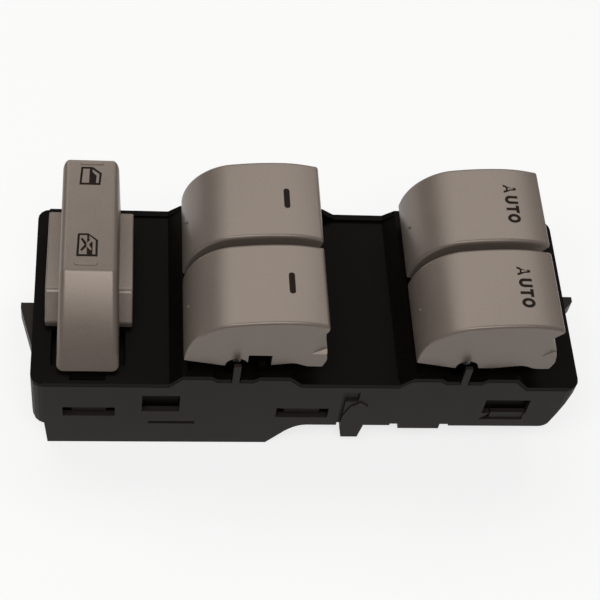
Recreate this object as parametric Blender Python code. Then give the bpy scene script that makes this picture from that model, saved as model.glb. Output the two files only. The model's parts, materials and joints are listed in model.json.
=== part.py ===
# Driver's power window switch: a moulded housing with a connector bay, a deck with raised surrounds,
# four hollow rocking paddles on pivot pins, a window lock rocker, and the works under the deck.
# Metres, +Z up. X runs along the housing, Y across it. The origin is the middle of its footprint.
from math import cos, radians, sin, sqrt

import bmesh
import bpy
from mathutils import Matrix, Vector

mm = 0.001

# Fits shared by every piece
CLEARANCE = 0.3 * mm
WALL = 1.6 * mm

# Housing
LENGTH = 140 * mm
WIDTH = 54.5 * mm
BAY_DEPTH = 28.7 * mm
SHALLOW_DEPTH = 19.2 * mm
BAY_END_X = -9 * mm
BAY_RAMP_LENGTH = 10 * mm
LEFT_STEP_DEPTH = 16 * mm
LEFT_STEP_INSET = 3 * mm
RIGHT_TAPER = 4 * mm
NOSE_RADIUS = 2.5 * mm
CORNER_RADIUS = 3 * mm
CLIP_REACH = 3.4 * mm
CLIP_TOP_DEPTH = 2.6 * mm
CLIP_DEPTH = 7.5 * mm
CLIP_FLAT = 1.5 * mm
END_CLIPS = {-1: {"far_y": -1.1 * mm, "length": 16.7 * mm, "root": 0.5 * WALL},
             1: {"far_y": 3.5 * mm, "length": 7.5 * mm, "root": 1.4 * WALL}}
LEG_X = 13 * mm
LEG_DEPTH = 24.9 * mm
LEG_THICKNESS = 2.6 * mm
LEG_PROUD = 0.3 * mm
FOOT_LIP_X = 31.1 * mm
FOOT_LIP_LENGTH = 11 * mm
FOOT_LIP_DROP = 1.5 * mm
FOOT_NOTCH_WIDTH = 2.4 * mm
FOOT_NOTCH_HEIGHT = 0.8 * mm

# Openings and reliefs in the long walls: middle x, length, upper and lower depth under the deck
SNAP_WINDOWS = ((-37.4 * mm, 9.6 * mm, 5.1 * mm, 12.8 * mm), (52.6 * mm, 11.8 * mm, 5.9 * mm, 12.6 * mm))
WALL_SLOTS = ((-55.6 * mm, 13.2 * mm, 11 * mm, 15.2 * mm), (-0.8 * mm, 13.6 * mm, 10.8 * mm, 15.3 * mm))
THIN_SLIT = (-34.4 * mm, 12 * mm, 17.8 * mm, 19 * mm)
LEDGE = (53.5 * mm, 9.2 * mm, 12.2 * mm, 15.7 * mm)
LEDGE_SLOT_LENGTH = 2.9 * mm
LEDGE_RELIEF = 0.4 * mm
SLOT_RELIEF = 1.2 * mm
GROOVE_RELIEF = 0.8 * mm
SLOT_END_LENGTH = 2.2 * mm

# Deck and its raised surrounds
DECK_THICKNESS = 1.2 * mm
EDGE_LIP = 1.3 * mm
LOW_EDGE = 0.5 * mm
RISER_THICKNESS = 0.7 * mm
GUARD_THICKNESS = 0.9 * mm
GUARD_HALF_WIDTH = 0.9 * mm
GUARD_HEIGHT = 9 * mm
RIMS = {-1: {"height": 4.3 * mm, "middle": 1.1 * mm}, 1: {"height": 3.1 * mm, "middle": 0.8 * mm}}
RIM_THICKNESS = 1.7 * mm
RAMP_LENGTH = 3.2 * mm
RAMP_FLAT = 1.3 * mm
RAMP_STRETCH = 1.2
NOTCH_DIP = 1.3 * mm
NOTCH_HALF_LENGTH = 4.6 * mm
NOTCH_SLOPE = 1.4 * mm
WINDOW_LAP = 1 * mm
CATCH_HEIGHT = 3 * mm
SNAP_ARM_THICKNESS = 1.1 * mm
SNAP_CATCH = 1.1 * mm

# Paddles
PADDLE_LENGTH = 34.8 * mm
PADDLE_WIDTH = 24 * mm
PADDLE_GAP = 2.2 * mm
PADDLE_WALL = 1.6 * mm
PADDLE_PEAK = 25.3 * mm
PADDLE_SKIRT = 6.1 * mm
BACK_ROUND = 14.7 * mm
BACK_CORNER = 8.4 * mm
BACK_DROP = 0.9 * mm
PEAK_FROM_LIP = 9.5 * mm
CROWN_RADIUS = 72 * mm
LIP_CURVE = 30 * mm
LIP_UNDERCUT = 1.9 * mm
TOE_REACH = 0.9 * mm
EDGE_ROUND = 0.5 * mm
END_BLOCK = 6.5 * mm
SKIRT_BACK = 24.9 * mm
SKIRT_FRONT = 15 * mm
SKIRT_STEP = 7.2 * mm
SKIRT_STEP_RISE = 1.5 * mm
TOE_BACK = 4 * mm
TOE_HEIGHT = 3.2 * mm
LIP_HEIGHT = 22.9 * mm
LIP_THICKNESS = 2.7 * mm
SCOOP_DEPTH = 3.2 * mm
SCOOP_HEIGHT = 14.5 * mm
POCKET_DEPTH = 0.8 * mm
PAIRS = {"rear": {"lip_x": 2.4 * mm, "travel": 5.0, "rim_end": {-1: -4.7 * mm, 1: 6.9 * mm}},
         "front": {"lip_x": 60.7 * mm, "travel": 7.0, "rim_end": {-1: -4.7 * mm, 1: 5.6 * mm}}}
SIDES = {"right": -1, "left": 1}

# Pivots of the paddles
PIVOT_FROM_LIP = 21.5 * mm
PIVOT_HEIGHT = 6.5 * mm
PIN_RADIUS = 1.0 * mm
SLEEVE_WALL = 1.0 * mm
EAR_THICKNESS = 1.4 * mm
EAR_HALF_WIDTH = 2.6 * mm
POST_OFFSET = 6.4 * mm
POST_HALF_WIDTH = 0.85 * mm
POST_THICKNESS = 1.2 * mm
POST_HEIGHT = 6.4 * mm
ARCH_RADIUS = 2.9 * mm
SIDE_NOTCH_LENGTH = 5.6 * mm
SIDE_NOTCH_HEIGHT = 11 * mm

# Carriers, sliders and springs
PLATE_THICKNESS = 1.6 * mm
PLATE_REACH = 11 * mm
CARRIER_RIB = 1.5 * mm
CARRIER_RIB_BACK = 8.5 * mm
CARRIER_RIB_FRONT = 9 * mm
ARM_WIDTH = 5 * mm
ARM_THICKNESS = 2.2 * mm
SLIDER_LENGTH = 11 * mm
SLIDER_WIDTH = 8.4 * mm
SLIDER_HEIGHT = 2.2 * mm
FORK_HEIGHT = 2.8 * mm
FORK_FINGER = 1.6 * mm
GUIDE_WALL = 1.6 * mm
GUIDE_HEIGHT = 3.4 * mm
WIPER_THICKNESS = 0.3 * mm
WIPER_RISE = 0.6 * mm
WIPER_WIDTH = 3.6 * mm
SPRING_RADIUS = 2.3 * mm
WIRE_RADIUS = 0.35 * mm
SPRING_TURNS = 4
SPRING_OFFSET = 7.5 * mm
SEAT_HEIGHT = 1.2 * mm

# Circuit board, connector and fasteners
BOARD_THICKNESS = 1.6 * mm
BOARD_DEPTH = 14.2 * mm
BOARD_MARGIN = 2.2 * mm
HEADER_X = -38 * mm
HEADER_LENGTH = 38 * mm
HEADER_WIDTH = 15.4 * mm
HEADER_WALL = 1.2 * mm
HEADER_ROOF = 2.4 * mm
HEADER_RECESS = 0.8 * mm
KEY_LENGTH = 6 * mm
KEY_DEPTH = 5 * mm
TERMINAL_PITCH = 3.8 * mm
TERMINALS_IN_ROW = 8
TERMINAL_ROW_SPACING = 2.8 * mm
TERMINAL_SIZE = 0.8 * mm
TERMINAL_REACH = 7 * mm
SCREW_END_INSET = 9 * mm
SCREW_INSET = 8.25 * mm
SCREW_RADIUS = 1.1 * mm
SCREW_HEAD_RADIUS = 2.1 * mm
SCREW_HEAD_HEIGHT = 1.4 * mm
SCREW_LENGTH = 4.6 * mm
BOSS_RADIUS = 2.8 * mm

# Window lock rocker
LOCK_X = -55.9 * mm
LOCK_PIVOT_Y = -3 * mm
LOCK_PIVOT_DEPTH = 4.2 * mm
LOCK_TRAVEL = 7.0
LOCK_HALF_WIDTH = 7.8 * mm
LOCK_TOP_HALF_WIDTH = 7 * mm
LOCK_TOP_HEIGHT = 24 * mm
LOCK_BEND_HEIGHT = 18.1 * mm
LOCK_BEND_Y = -5.4 * mm
LOCK_NEAR_Y = -24.1 * mm
LOCK_NEAR_HEIGHT = 0.8 * mm
LOCK_FAR_Y = 25.2 * mm
LOCK_FAR_HEIGHT = 4.6 * mm
LOCK_FACE_SAG = 1.8 * mm
LOCK_EDGE_ROUND = 0.8 * mm
LOCK_WALL = 1.6 * mm
WING_HALF_WIDTH = 11 * mm
WING_THICKNESS = 1.6 * mm
WING_FAR = (22.6 * mm, 5.3 * mm)
WING_RIDGE = (-3.9 * mm, 7.8 * mm)
WING_NEAR = (-10.3 * mm, 2.2 * mm)
LOCK_SKIRT_HALF_WIDTH = 8.7 * mm
LOCK_SKIRT_NEAR_Y = -8.6 * mm
LOCK_SKIRT_FAR_Y = 16.5 * mm
LOCK_SKIRT_DROP = 2.6 * mm
LOCK_WELL_NEAR_Y = -21.6 * mm
LOCK_WELL_DEPTH = 3 * mm
LOCK_WELL_WALL = 1.4 * mm
LOCK_NOTCH_LENGTH = 9 * mm
LOCK_NOTCH_Y = -26.2 * mm
LOCK_NOTCH_DEPTH = 0.8 * mm
LOCK_LUG_THICKNESS = 1.4 * mm
LOCK_FORK_HEIGHT = 2.2 * mm

# Levels and places worked out from the sizes above
DECK_Z = BAY_DEPTH
DECK_UNDER = DECK_Z - DECK_THICKNESS
EDGE_UNDER = DECK_Z + LOW_EDGE - EDGE_LIP
DECK_CORE = (DECK_Z + EDGE_UNDER) / 2
BASE_TOP = EDGE_UNDER - CLEARANCE
FLOOR_Z = DECK_Z - SHALLOW_DEPTH
BOARD_UNDER = DECK_Z - BOARD_DEPTH
BOARD_TOP = BOARD_UNDER + BOARD_THICKNESS
HALF_LENGTH = LENGTH / 2
HALF_WIDTH = WIDTH / 2
PIVOT_Z = DECK_Z + PIVOT_HEIGHT
BORE_RADIUS = PIN_RADIUS + CLEARANCE
SLEEVE_RADIUS = BORE_RADIUS + SLEEVE_WALL
WIPER_BOTTOM = BOARD_TOP + CLEARANCE
SCREW_TIP_Z = BOARD_TOP + CLEARANCE - SCREW_LENGTH
SLIDER_BOTTOM = WIPER_BOTTOM + WIPER_RISE + WIPER_THICKNESS + CLEARANCE
SLIDER_TOP = SLIDER_BOTTOM + SLIDER_HEIGHT
ARM_TIP_Z = SLIDER_TOP + CLEARANCE + ARM_THICKNESS / 2
LOCK_PIVOT_Z = DECK_Z - LOCK_PIVOT_DEPTH
PADDLE_INNER_Y = PADDLE_GAP / 2
PADDLE_OUTER_Y = PADDLE_INNER_Y + PADDLE_WIDTH
PADDLE_MIDDLE_Y = PADDLE_INNER_Y + PADDLE_WIDTH / 2
RIM_INNER_Y = HALF_WIDTH - RIM_THICKNESS
EAR_OUTER_Y = PADDLE_OUTER_Y - PADDLE_WALL - CLEARANCE
EAR_INNER_Y = EAR_OUTER_Y - EAR_THICKNESS
SLEEVE_OUTER_Y = EAR_INNER_Y - CLEARANCE
SLEEVE_INNER_Y = PADDLE_INNER_Y + PADDLE_WALL + CLEARANCE
PLATE_Z = PIVOT_Z + SLEEVE_RADIUS + CLEARANCE
LOCK_LUG_INNER = LOCK_SKIRT_HALF_WIDTH + 2 * CLEARANCE


# Materials

def material(name, colour, roughness, metallic=0.0):
    mat = bpy.data.materials.get(name) or bpy.data.materials.new(name)
    mat.use_nodes = True
    shader = mat.node_tree.nodes["Principled BSDF"]
    shader.inputs["Base Color"].default_value = (*colour, 1.0)
    shader.inputs["Roughness"].default_value = roughness
    shader.inputs["Metallic"].default_value = metallic
    return mat


def silver():
    return material("silver_paint", (0.42, 0.39, 0.36), 0.42, 0.6)


def black():
    return material("black_plastic", (0.012, 0.011, 0.011), 0.45)


def charcoal():
    return material("charcoal_plastic", (0.03, 0.028, 0.028), 0.5)


def dark_nylon():
    return material("dark_nylon", (0.02, 0.02, 0.02), 0.55)


def pale_nylon():
    return material("pale_nylon", (0.62, 0.6, 0.54), 0.5)


def steel():
    return material("steel", (0.55, 0.55, 0.56), 0.28, 1.0)


def copper():
    return material("copper", (0.72, 0.42, 0.24), 0.3, 1.0)


def laminate():
    return material("board_laminate", (0.03, 0.16, 0.06), 0.4)


# Shape helpers

def clear_scene():
    for obj in list(bpy.context.scene.objects):
        bpy.data.objects.remove(obj, do_unlink=True)


def arc(cx, cy, radius, start, end, steps):
    """Points along an arc, angles in degrees."""
    angles = [radians(start + (end - start) * i / steps) for i in range(steps + 1)]
    return [(cx + radius * cos(a), cy + radius * sin(a)) for a in angles]


def spot(axis, u, v, w):
    """A point from two outline coordinates and the distance along the extrusion axis."""
    if axis == "X":
        return (w, u, v)
    if axis == "Y":
        return (u, w, v)
    return (u, v, w)


def prism(points, axis, low, high):
    """A closed solid: an outline extruded along an axis between two distances."""
    bm = bmesh.new()
    low, high = min(low, high), max(low, high)
    face = bm.faces.new([bm.verts.new(spot(axis, u, v, low)) for u, v in points])
    grown = bmesh.ops.extrude_face_region(bm, geom=[face])
    moved = [item for item in grown["geom"] if isinstance(item, bmesh.types.BMVert)]
    bmesh.ops.translate(bm, verts=moved, vec=Vector(spot(axis, 0, 0, high - low)))
    bmesh.ops.recalc_face_normals(bm, faces=bm.faces)
    return bm


def box(x, y, z):
    """A block from three pairs of limits."""
    corners = [(x[0], y[0]), (x[1], y[0]), (x[1], y[1]), (x[0], y[1])]
    return prism(corners, "Z", z[0], z[1])


def around(middle, half):
    return (middle - half, middle + half)


def rod(axis, u, v, radius, low, high, sides=16):
    """A round bar along an axis, centred on two outline coordinates."""
    half = 180 / sides
    return prism(arc(u, v, radius, half, 360 - half, sides - 1), axis, low, high)


def rounded_rectangle(half_x, half_y, radius, steps=4):
    points = []
    for corner, (sx, sy) in enumerate([(1, 1), (-1, 1), (-1, -1), (1, -1)]):
        centre_x = sx * (half_x - radius)
        centre_y = sy * (half_y - radius)
        points += arc(centre_x, centre_y, radius, 90 * corner, 90 * corner + 90, steps)
    return points


def bevelled(bm, width, segments, chosen):
    """Rounds the edges of a solid that a test picks."""
    edges = [edge for edge in bm.edges if chosen(edge)]
    bmesh.ops.bevel(bm, geom=edges, offset=width, segments=segments, profile=0.5, affect="EDGES",
                    clamp_overlap=True)
    return bm


def add_object(name, bm, mat=None):
    mesh = bpy.data.meshes.new(name)
    bm.to_mesh(mesh)
    bm.free()
    obj = bpy.data.objects.new(name, mesh)
    bpy.context.scene.collection.objects.link(obj)
    if mat is not None:
        mesh.materials.append(mat)
    return obj


def hide(obj):
    """Marks an object as a guide that only a Boolean reads."""
    obj.hide_render = True
    obj.display_type = "WIRE"
    return obj


def combine(obj, parts, operation):
    """Unites an object with a list of solids, or cuts them from it, in one Boolean."""
    if not parts:
        return
    group = bpy.data.collections.new(f"{obj.name}_{operation.lower()}")
    bpy.context.scene.collection.children.link(group)
    for number, part in enumerate(parts):
        guide = hide(add_object(f"{obj.name}_{operation.lower()}_{number}", part))
        bpy.context.scene.collection.objects.unlink(guide)
        group.objects.link(guide)
    boolean = obj.modifiers.new(operation.title(), "BOOLEAN")
    boolean.operation = operation
    boolean.operand_type = "COLLECTION"
    boolean.collection = group
    boolean.solver = "EXACT"


def finish(obj, adds=(), cuts=(), sharp=35):
    combine(obj, list(adds), "UNION")
    combine(obj, list(cuts), "DIFFERENCE")
    obj.data.shade_smooth()
    obj.data.set_sharp_from_angle(angle=radians(sharp))
    return obj


def solid(name, mat, first, adds=(), cuts=()):
    return finish(add_object(name, first, mat), adds, cuts)


def hang(name, place, pieces):
    """An empty on a joint's axis that carries the pieces which turn or slide there."""
    empty = bpy.data.objects.new(name, None)
    empty.location = place
    bpy.context.scene.collection.objects.link(empty)
    for piece in pieces:
        piece.parent = empty
        piece.matrix_parent_inverse = Matrix.Translation(-Vector(place))


# Housing

def base_profile(inset):
    """Side view of the housing, drawn inwards by a wall: deep bay at the left, shallow at the right."""
    left = -HALF_LENGTH + inset
    right = HALF_LENGTH - inset
    floor = FLOOR_Z + inset
    rise = floor - inset
    step = DECK_Z - LEFT_STEP_DEPTH
    foot = left + LEFT_STEP_INSET
    start = BAY_END_X - inset
    points = [(left - WALL, step + WALL), (left + 0.3 * LEFT_STEP_INSET, step - 0.7 * LEFT_STEP_INSET),
              (foot, step - LEFT_STEP_INSET), (foot + 0.2 * LEFT_STEP_INSET, inset), (start, inset)]
    for i in range(7):
        t = i / 6
        run = 0.35 + 0.65 * t
        points.append((start + run * BAY_RAMP_LENGTH, inset + rise * (1 - 0.5 * (1 - t) ** 2)))
    points += arc(right - RIGHT_TAPER - NOSE_RADIUS, floor + NOSE_RADIUS, NOSE_RADIUS, 270, 348, 4)
    return points


def base_block(name, inset, top, mat=None):
    """The housing's block: its plan outline cut to its side view."""
    radius = max(CORNER_RADIUS - inset, WALL / 2)
    plan = rounded_rectangle(HALF_LENGTH - inset, HALF_WIDTH - inset, radius)
    block = add_object(name, prism(plan, "Z", -WALL, top), mat)
    right = HALF_LENGTH - inset
    side = base_profile(inset) + [(right, top + WALL), (-HALF_LENGTH + inset - WALL, top + WALL)]
    shape = block.modifiers.new("Side view", "BOOLEAN")
    shape.operation = "INTERSECT"
    shape.solver = "EXACT"
    shape.object = hide(add_object(f"{name}_side_view", prism(side, "Y", -WIDTH, WIDTH)))
    return block


def pivot_x(lip_x):
    return lip_x - PIVOT_FROM_LIP


def edge_line(side):
    """Top line of the cover's edge along a long wall: raised past each pair of paddles, with a dip at the pivot."""
    top = DECK_Z + RIMS[side]["height"]
    middle = RIMS[side]["middle"]
    dip = top - NOTCH_DIP
    line = []
    for pair, before, after in (("rear", LOW_EDGE, middle), ("front", middle, LOW_EDGE)):
        lip_x = PAIRS[pair]["lip_x"]
        x = pivot_x(lip_x)
        start = lip_x - PADDLE_LENGTH
        stop = lip_x + PAIRS[pair]["rim_end"][side]
        shoulder = NOTCH_HALF_LENGTH + NOTCH_SLOPE
        line += [(start - RAMP_LENGTH, DECK_Z + before), (start, top), (x - shoulder, top),
                 (x - NOTCH_HALF_LENGTH, dip), (x + NOTCH_HALF_LENGTH, dip), (x + shoulder, top),
                 (stop - RAMP_LENGTH, top), (stop, DECK_Z + after)]
    return line


def wall_line(side, drop):
    """The seam under the cover's edge: the edge's line lowered, with its outer ramps drawn on past the deck."""
    line = [(x, z - drop) for x, z in edge_line(side)]
    first, second, before_last, last = Vector(line[0]), Vector(line[1]), Vector(line[-2]), Vector(line[-1])
    line[0] = tuple(second + (first - second) * RAMP_STRETCH)
    line[-1] = tuple(before_last + (last - before_last) * RAMP_STRETCH)
    return line


def wall_riser(side):
    """The part of a long wall that stands up under the cover's raised edge."""
    line = wall_line(side, EDGE_LIP + CLEARANCE)
    low = BASE_TOP - WALL
    return prism([(line[0][0], low)] + line + [(line[-1][0], low)], "Y",
                 side * HALF_WIDTH, side * (HALF_WIDTH - RISER_THICKNESS))


def guard(x, side):
    """The narrow upright of a long wall in front of a pair's pivot."""
    y = sorted((side * HALF_WIDTH, side * (HALF_WIDTH - GUARD_THICKNESS)))
    return box(around(x, GUARD_HALF_WIDTH), y, (BASE_TOP - WALL, DECK_Z + GUARD_HEIGHT))


def screw_places():
    middle = sum(pivot_x(pair["lip_x"]) for pair in PAIRS.values()) / len(PAIRS)
    for x in (SCREW_END_INSET - HALF_LENGTH, middle):
        for side in (-1, 1):
            yield x, side * (HALF_WIDTH - SCREW_INSET)


def end_clip(side):
    """A hook on an end wall: square at its far side, tapering towards the near side."""
    far_y = END_CLIPS[side]["far_y"]
    wall_x = side * (HALF_LENGTH - END_CLIPS[side]["root"])
    tip_x = side * (HALF_LENGTH + CLIP_REACH)
    outline = [(wall_x, far_y - END_CLIPS[side]["length"]), (tip_x, far_y - CLIP_FLAT),
               (tip_x, far_y), (wall_x, far_y)]
    return prism(outline, "Z", DECK_Z - CLIP_DEPTH, DECK_Z - CLIP_TOP_DEPTH)


def leg(side):
    """The locating leg of a long wall, with the rib that it grows from."""
    bottom = DECK_Z - LEG_DEPTH
    outline = [(LEG_X - 2.2 * mm, bottom), (LEG_X + 2.2 * mm, bottom), (LEG_X + 3 * mm, FLOOR_Z),
               (LEG_X + 3 * mm, FLOOR_Z + 10 * mm), (LEG_X + 0.8 * mm, FLOOR_Z + 12 * mm),
               (LEG_X - 1.6 * mm, FLOOR_Z + 9.7 * mm), (LEG_X - 3.3 * mm, FLOOR_Z + 4.4 * mm),
               (LEG_X - 3.3 * mm, FLOOR_Z)]
    outer = HALF_WIDTH + LEG_PROUD
    return prism(outline, "Y", side * outer, side * (outer - LEG_THICKNESS))


def wall_cut(side, middle, length, top_depth, bottom_depth, depth):
    """A rectangular cut into the outside of a long wall, placed by its depth under the deck."""
    y = sorted((side * (HALF_WIDTH + WALL), side * (HALF_WIDTH - depth)))
    return box(around(middle, length / 2), y, (DECK_Z - bottom_depth, DECK_Z - top_depth))


def wall_cuts(side):
    through = WALL + CLEARANCE
    for window in SNAP_WINDOWS:
        yield wall_cut(side, *window, through)
    for middle, length, top, bottom in WALL_SLOTS:
        yield wall_cut(side, middle, length, top, bottom, SLOT_RELIEF)
        for end in (-1, 1):
            end_x = middle + end * (length - SLOT_END_LENGTH) / 2
            yield wall_cut(side, end_x, SLOT_END_LENGTH, top, bottom, through)
    yield wall_cut(side, *THIN_SLIT, GROOVE_RELIEF)
    yield wall_cut(side, *LEDGE, LEDGE_RELIEF)
    corner_x, corner_z = LEDGE[0] - LEDGE[1] / 2 + CLEARANCE, DECK_Z - LEDGE[3]
    yield prism([(corner_x - LEDGE_SLOT_LENGTH, corner_z), (corner_x, corner_z), (corner_x, DECK_Z - LEDGE[2])], "Y",
                side * (HALF_WIDTH + WALL), side * (HALF_WIDTH - through))
    groove_top = SHALLOW_DEPTH - 12 * mm
    yield wall_cut(side, LEG_X - 3.6 * mm, 1 * mm, groove_top - WALL, SHALLOW_DEPTH + WALL, GROOVE_RELIEF)
    yield wall_cut(side, LEG_X - 2 * mm, 4.4 * mm, DECK_Z - BASE_TOP + WALL, groove_top, GROOVE_RELIEF)
    yield wall_cut(side, FOOT_LIP_X, FOOT_LIP_LENGTH + 2 * FOOT_NOTCH_WIDTH,
                   SHALLOW_DEPTH - FOOT_NOTCH_HEIGHT, SHALLOW_DEPTH + WALL, through)


def base_housing():
    base = base_block("base_housing", 0, BASE_TOP, charcoal())
    cavity = hide(base_block("housing_cavity", WALL, BASE_TOP + WALL))
    hollow = base.modifiers.new("Cavity", "BOOLEAN")
    hollow.operation = "DIFFERENCE"
    hollow.solver = "EXACT"
    hollow.object = cavity
    adds = [make(side) for side in (-1, 1) for make in (end_clip, leg, wall_riser)]
    adds += [guard(pivot_x(pair["lip_x"]), side) for pair in PAIRS.values() for side in (-1, 1)]
    cuts = []
    lips = []
    for x, y in screw_places():
        floor = 0 if x < BAY_END_X else FLOOR_Z
        adds.append(rod("Z", x, y, BOSS_RADIUS, floor + WALL / 2, BOARD_UNDER - CLEARANCE))
        cuts.append(rod("Z", x, y, SCREW_RADIUS + CLEARANCE, SCREW_TIP_Z - CLEARANCE, BOARD_UNDER))
    for side in (-1, 1):
        y = sorted((side * HALF_WIDTH, side * (HALF_WIDTH - 1.4 * WALL)))
        lips.append(box(around(FOOT_LIP_X, FOOT_LIP_LENGTH / 2), y,
                        (FLOOR_Z - FOOT_LIP_DROP, FLOOR_Z + 0.75 * WALL)))
        cuts += wall_cuts(side)
    cuts.append(box(around(HEADER_X, HEADER_LENGTH / 2 + CLEARANCE),
                    around(0, HEADER_WIDTH / 2 + CLEARANCE), (-WALL, 2 * WALL)))
    combine(base, adds, "UNION")
    combine(base, cuts, "DIFFERENCE")
    return finish(base, lips)


# Deck

def cover_edge(side):
    """The raised strip along a long edge of the deck."""
    line = edge_line(side)
    ends = [(-HALF_LENGTH + CORNER_RADIUS, DECK_Z + LOW_EDGE), (HALF_LENGTH - CORNER_RADIUS, DECK_Z + LOW_EDGE)]
    outline = [(ends[0][0], DECK_CORE), ends[0]] + line + [ends[1], (ends[1][0], DECK_CORE)]
    return prism(outline, "Y", side * HALF_WIDTH, side * RIM_INNER_Y)


def edge_recesses(side):
    """Room in the cover's edge for the standing parts of a long wall."""
    line = wall_line(side, EDGE_LIP)
    low = DECK_Z - 2 * DECK_THICKNESS
    outer = side * (HALF_WIDTH + WALL)
    yield prism([(line[0][0], low)] + line + [(line[-1][0], low)], "Y",
                outer, side * (HALF_WIDTH - RISER_THICKNESS - CLEARANCE))
    y = sorted((outer, side * (HALF_WIDTH - GUARD_THICKNESS - CLEARANCE)))
    for pair in PAIRS.values():
        yield box(around(pivot_x(pair["lip_x"]), GUARD_HALF_WIDTH + CLEARANCE), y, (low, DECK_Z + GUARD_HEIGHT))


def back_wall(lip_x):
    """The low ramp across the deck behind the rounded backs of a pair of paddles."""
    start = lip_x - PADDLE_LENGTH
    top = DECK_Z + RIMS[1]["height"]
    outline = [(start - RAMP_LENGTH, DECK_CORE), (start - RAMP_LENGTH, DECK_Z), (start, top),
               (start + RAMP_FLAT, top), (start + RAMP_FLAT, DECK_CORE)]
    reach = RIM_INNER_Y + RIM_THICKNESS / 2
    return prism(outline, "Y", -reach, reach)


def ear(x, low_y, high_y):
    """A bearing plate for the pivot pin, with a round top."""
    top = arc(x, PIVOT_Z, EAR_HALF_WIDTH, 0, 180, 8)
    return prism([(x + EAR_HALF_WIDTH, DECK_CORE)] + top + [(x - EAR_HALF_WIDTH, DECK_CORE)], "Y",
                 low_y, high_y)


def stop_post(x, side):
    """The upright on the deck, seen through the side notch of a rear paddle."""
    y = sorted((side * (PADDLE_OUTER_Y - CLEARANCE), side * (PADDLE_OUTER_Y - CLEARANCE - POST_THICKNESS)))
    return box(around(x + POST_OFFSET, POST_HALF_WIDTH), y, (DECK_CORE, DECK_Z + POST_HEIGHT))


def snap_arm(side, window):
    """A spring arm under the deck behind a window of the housing."""
    middle, length, _, bottom = window
    outer = HALF_WIDTH - WALL - CLEARANCE
    y = sorted((side * outer, side * (outer - SNAP_ARM_THICKNESS)))
    return box(around(middle, length / 2 + WINDOW_LAP), y, (DECK_Z - bottom - WINDOW_LAP, DECK_CORE))


def snap_catch(side, window):
    """The wedge on a spring arm that catches under the window's upper edge."""
    middle, length, top, _ = window
    half = length / 2 - 2 * CLEARANCE
    outer = HALF_WIDTH - WALL - CLEARANCE
    catch_z = DECK_Z - top - CLEARANCE
    root = outer - SNAP_ARM_THICKNESS / 2
    outline = [(side * root, catch_z), (side * (outer + SNAP_CATCH), catch_z), (side * outer, catch_z - CATCH_HEIGHT),
               (side * root, catch_z - CATCH_HEIGHT)]
    return prism(outline, "X", middle - half, middle + half)


def lock_lug(side):
    """A bearing lug under the deck for the lock rocker's pin."""
    half = SLEEVE_RADIUS
    inner = LOCK_X + side * LOCK_LUG_INNER
    bottom = arc(LOCK_PIVOT_Y, LOCK_PIVOT_Z, half, 180, 360, 8)
    outline = [(LOCK_PIVOT_Y - half, DECK_CORE)] + bottom + [(LOCK_PIVOT_Y + half, DECK_CORE)]
    return prism(outline, "X", inner, inner + side * LOCK_LUG_THICKNESS)


def spring_places(lip_x, side):
    for end, name in ((-1, "back"), (1, "front")):
        yield name, pivot_x(lip_x) + end * SPRING_OFFSET, side * PADDLE_MIDDLE_Y


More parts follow.
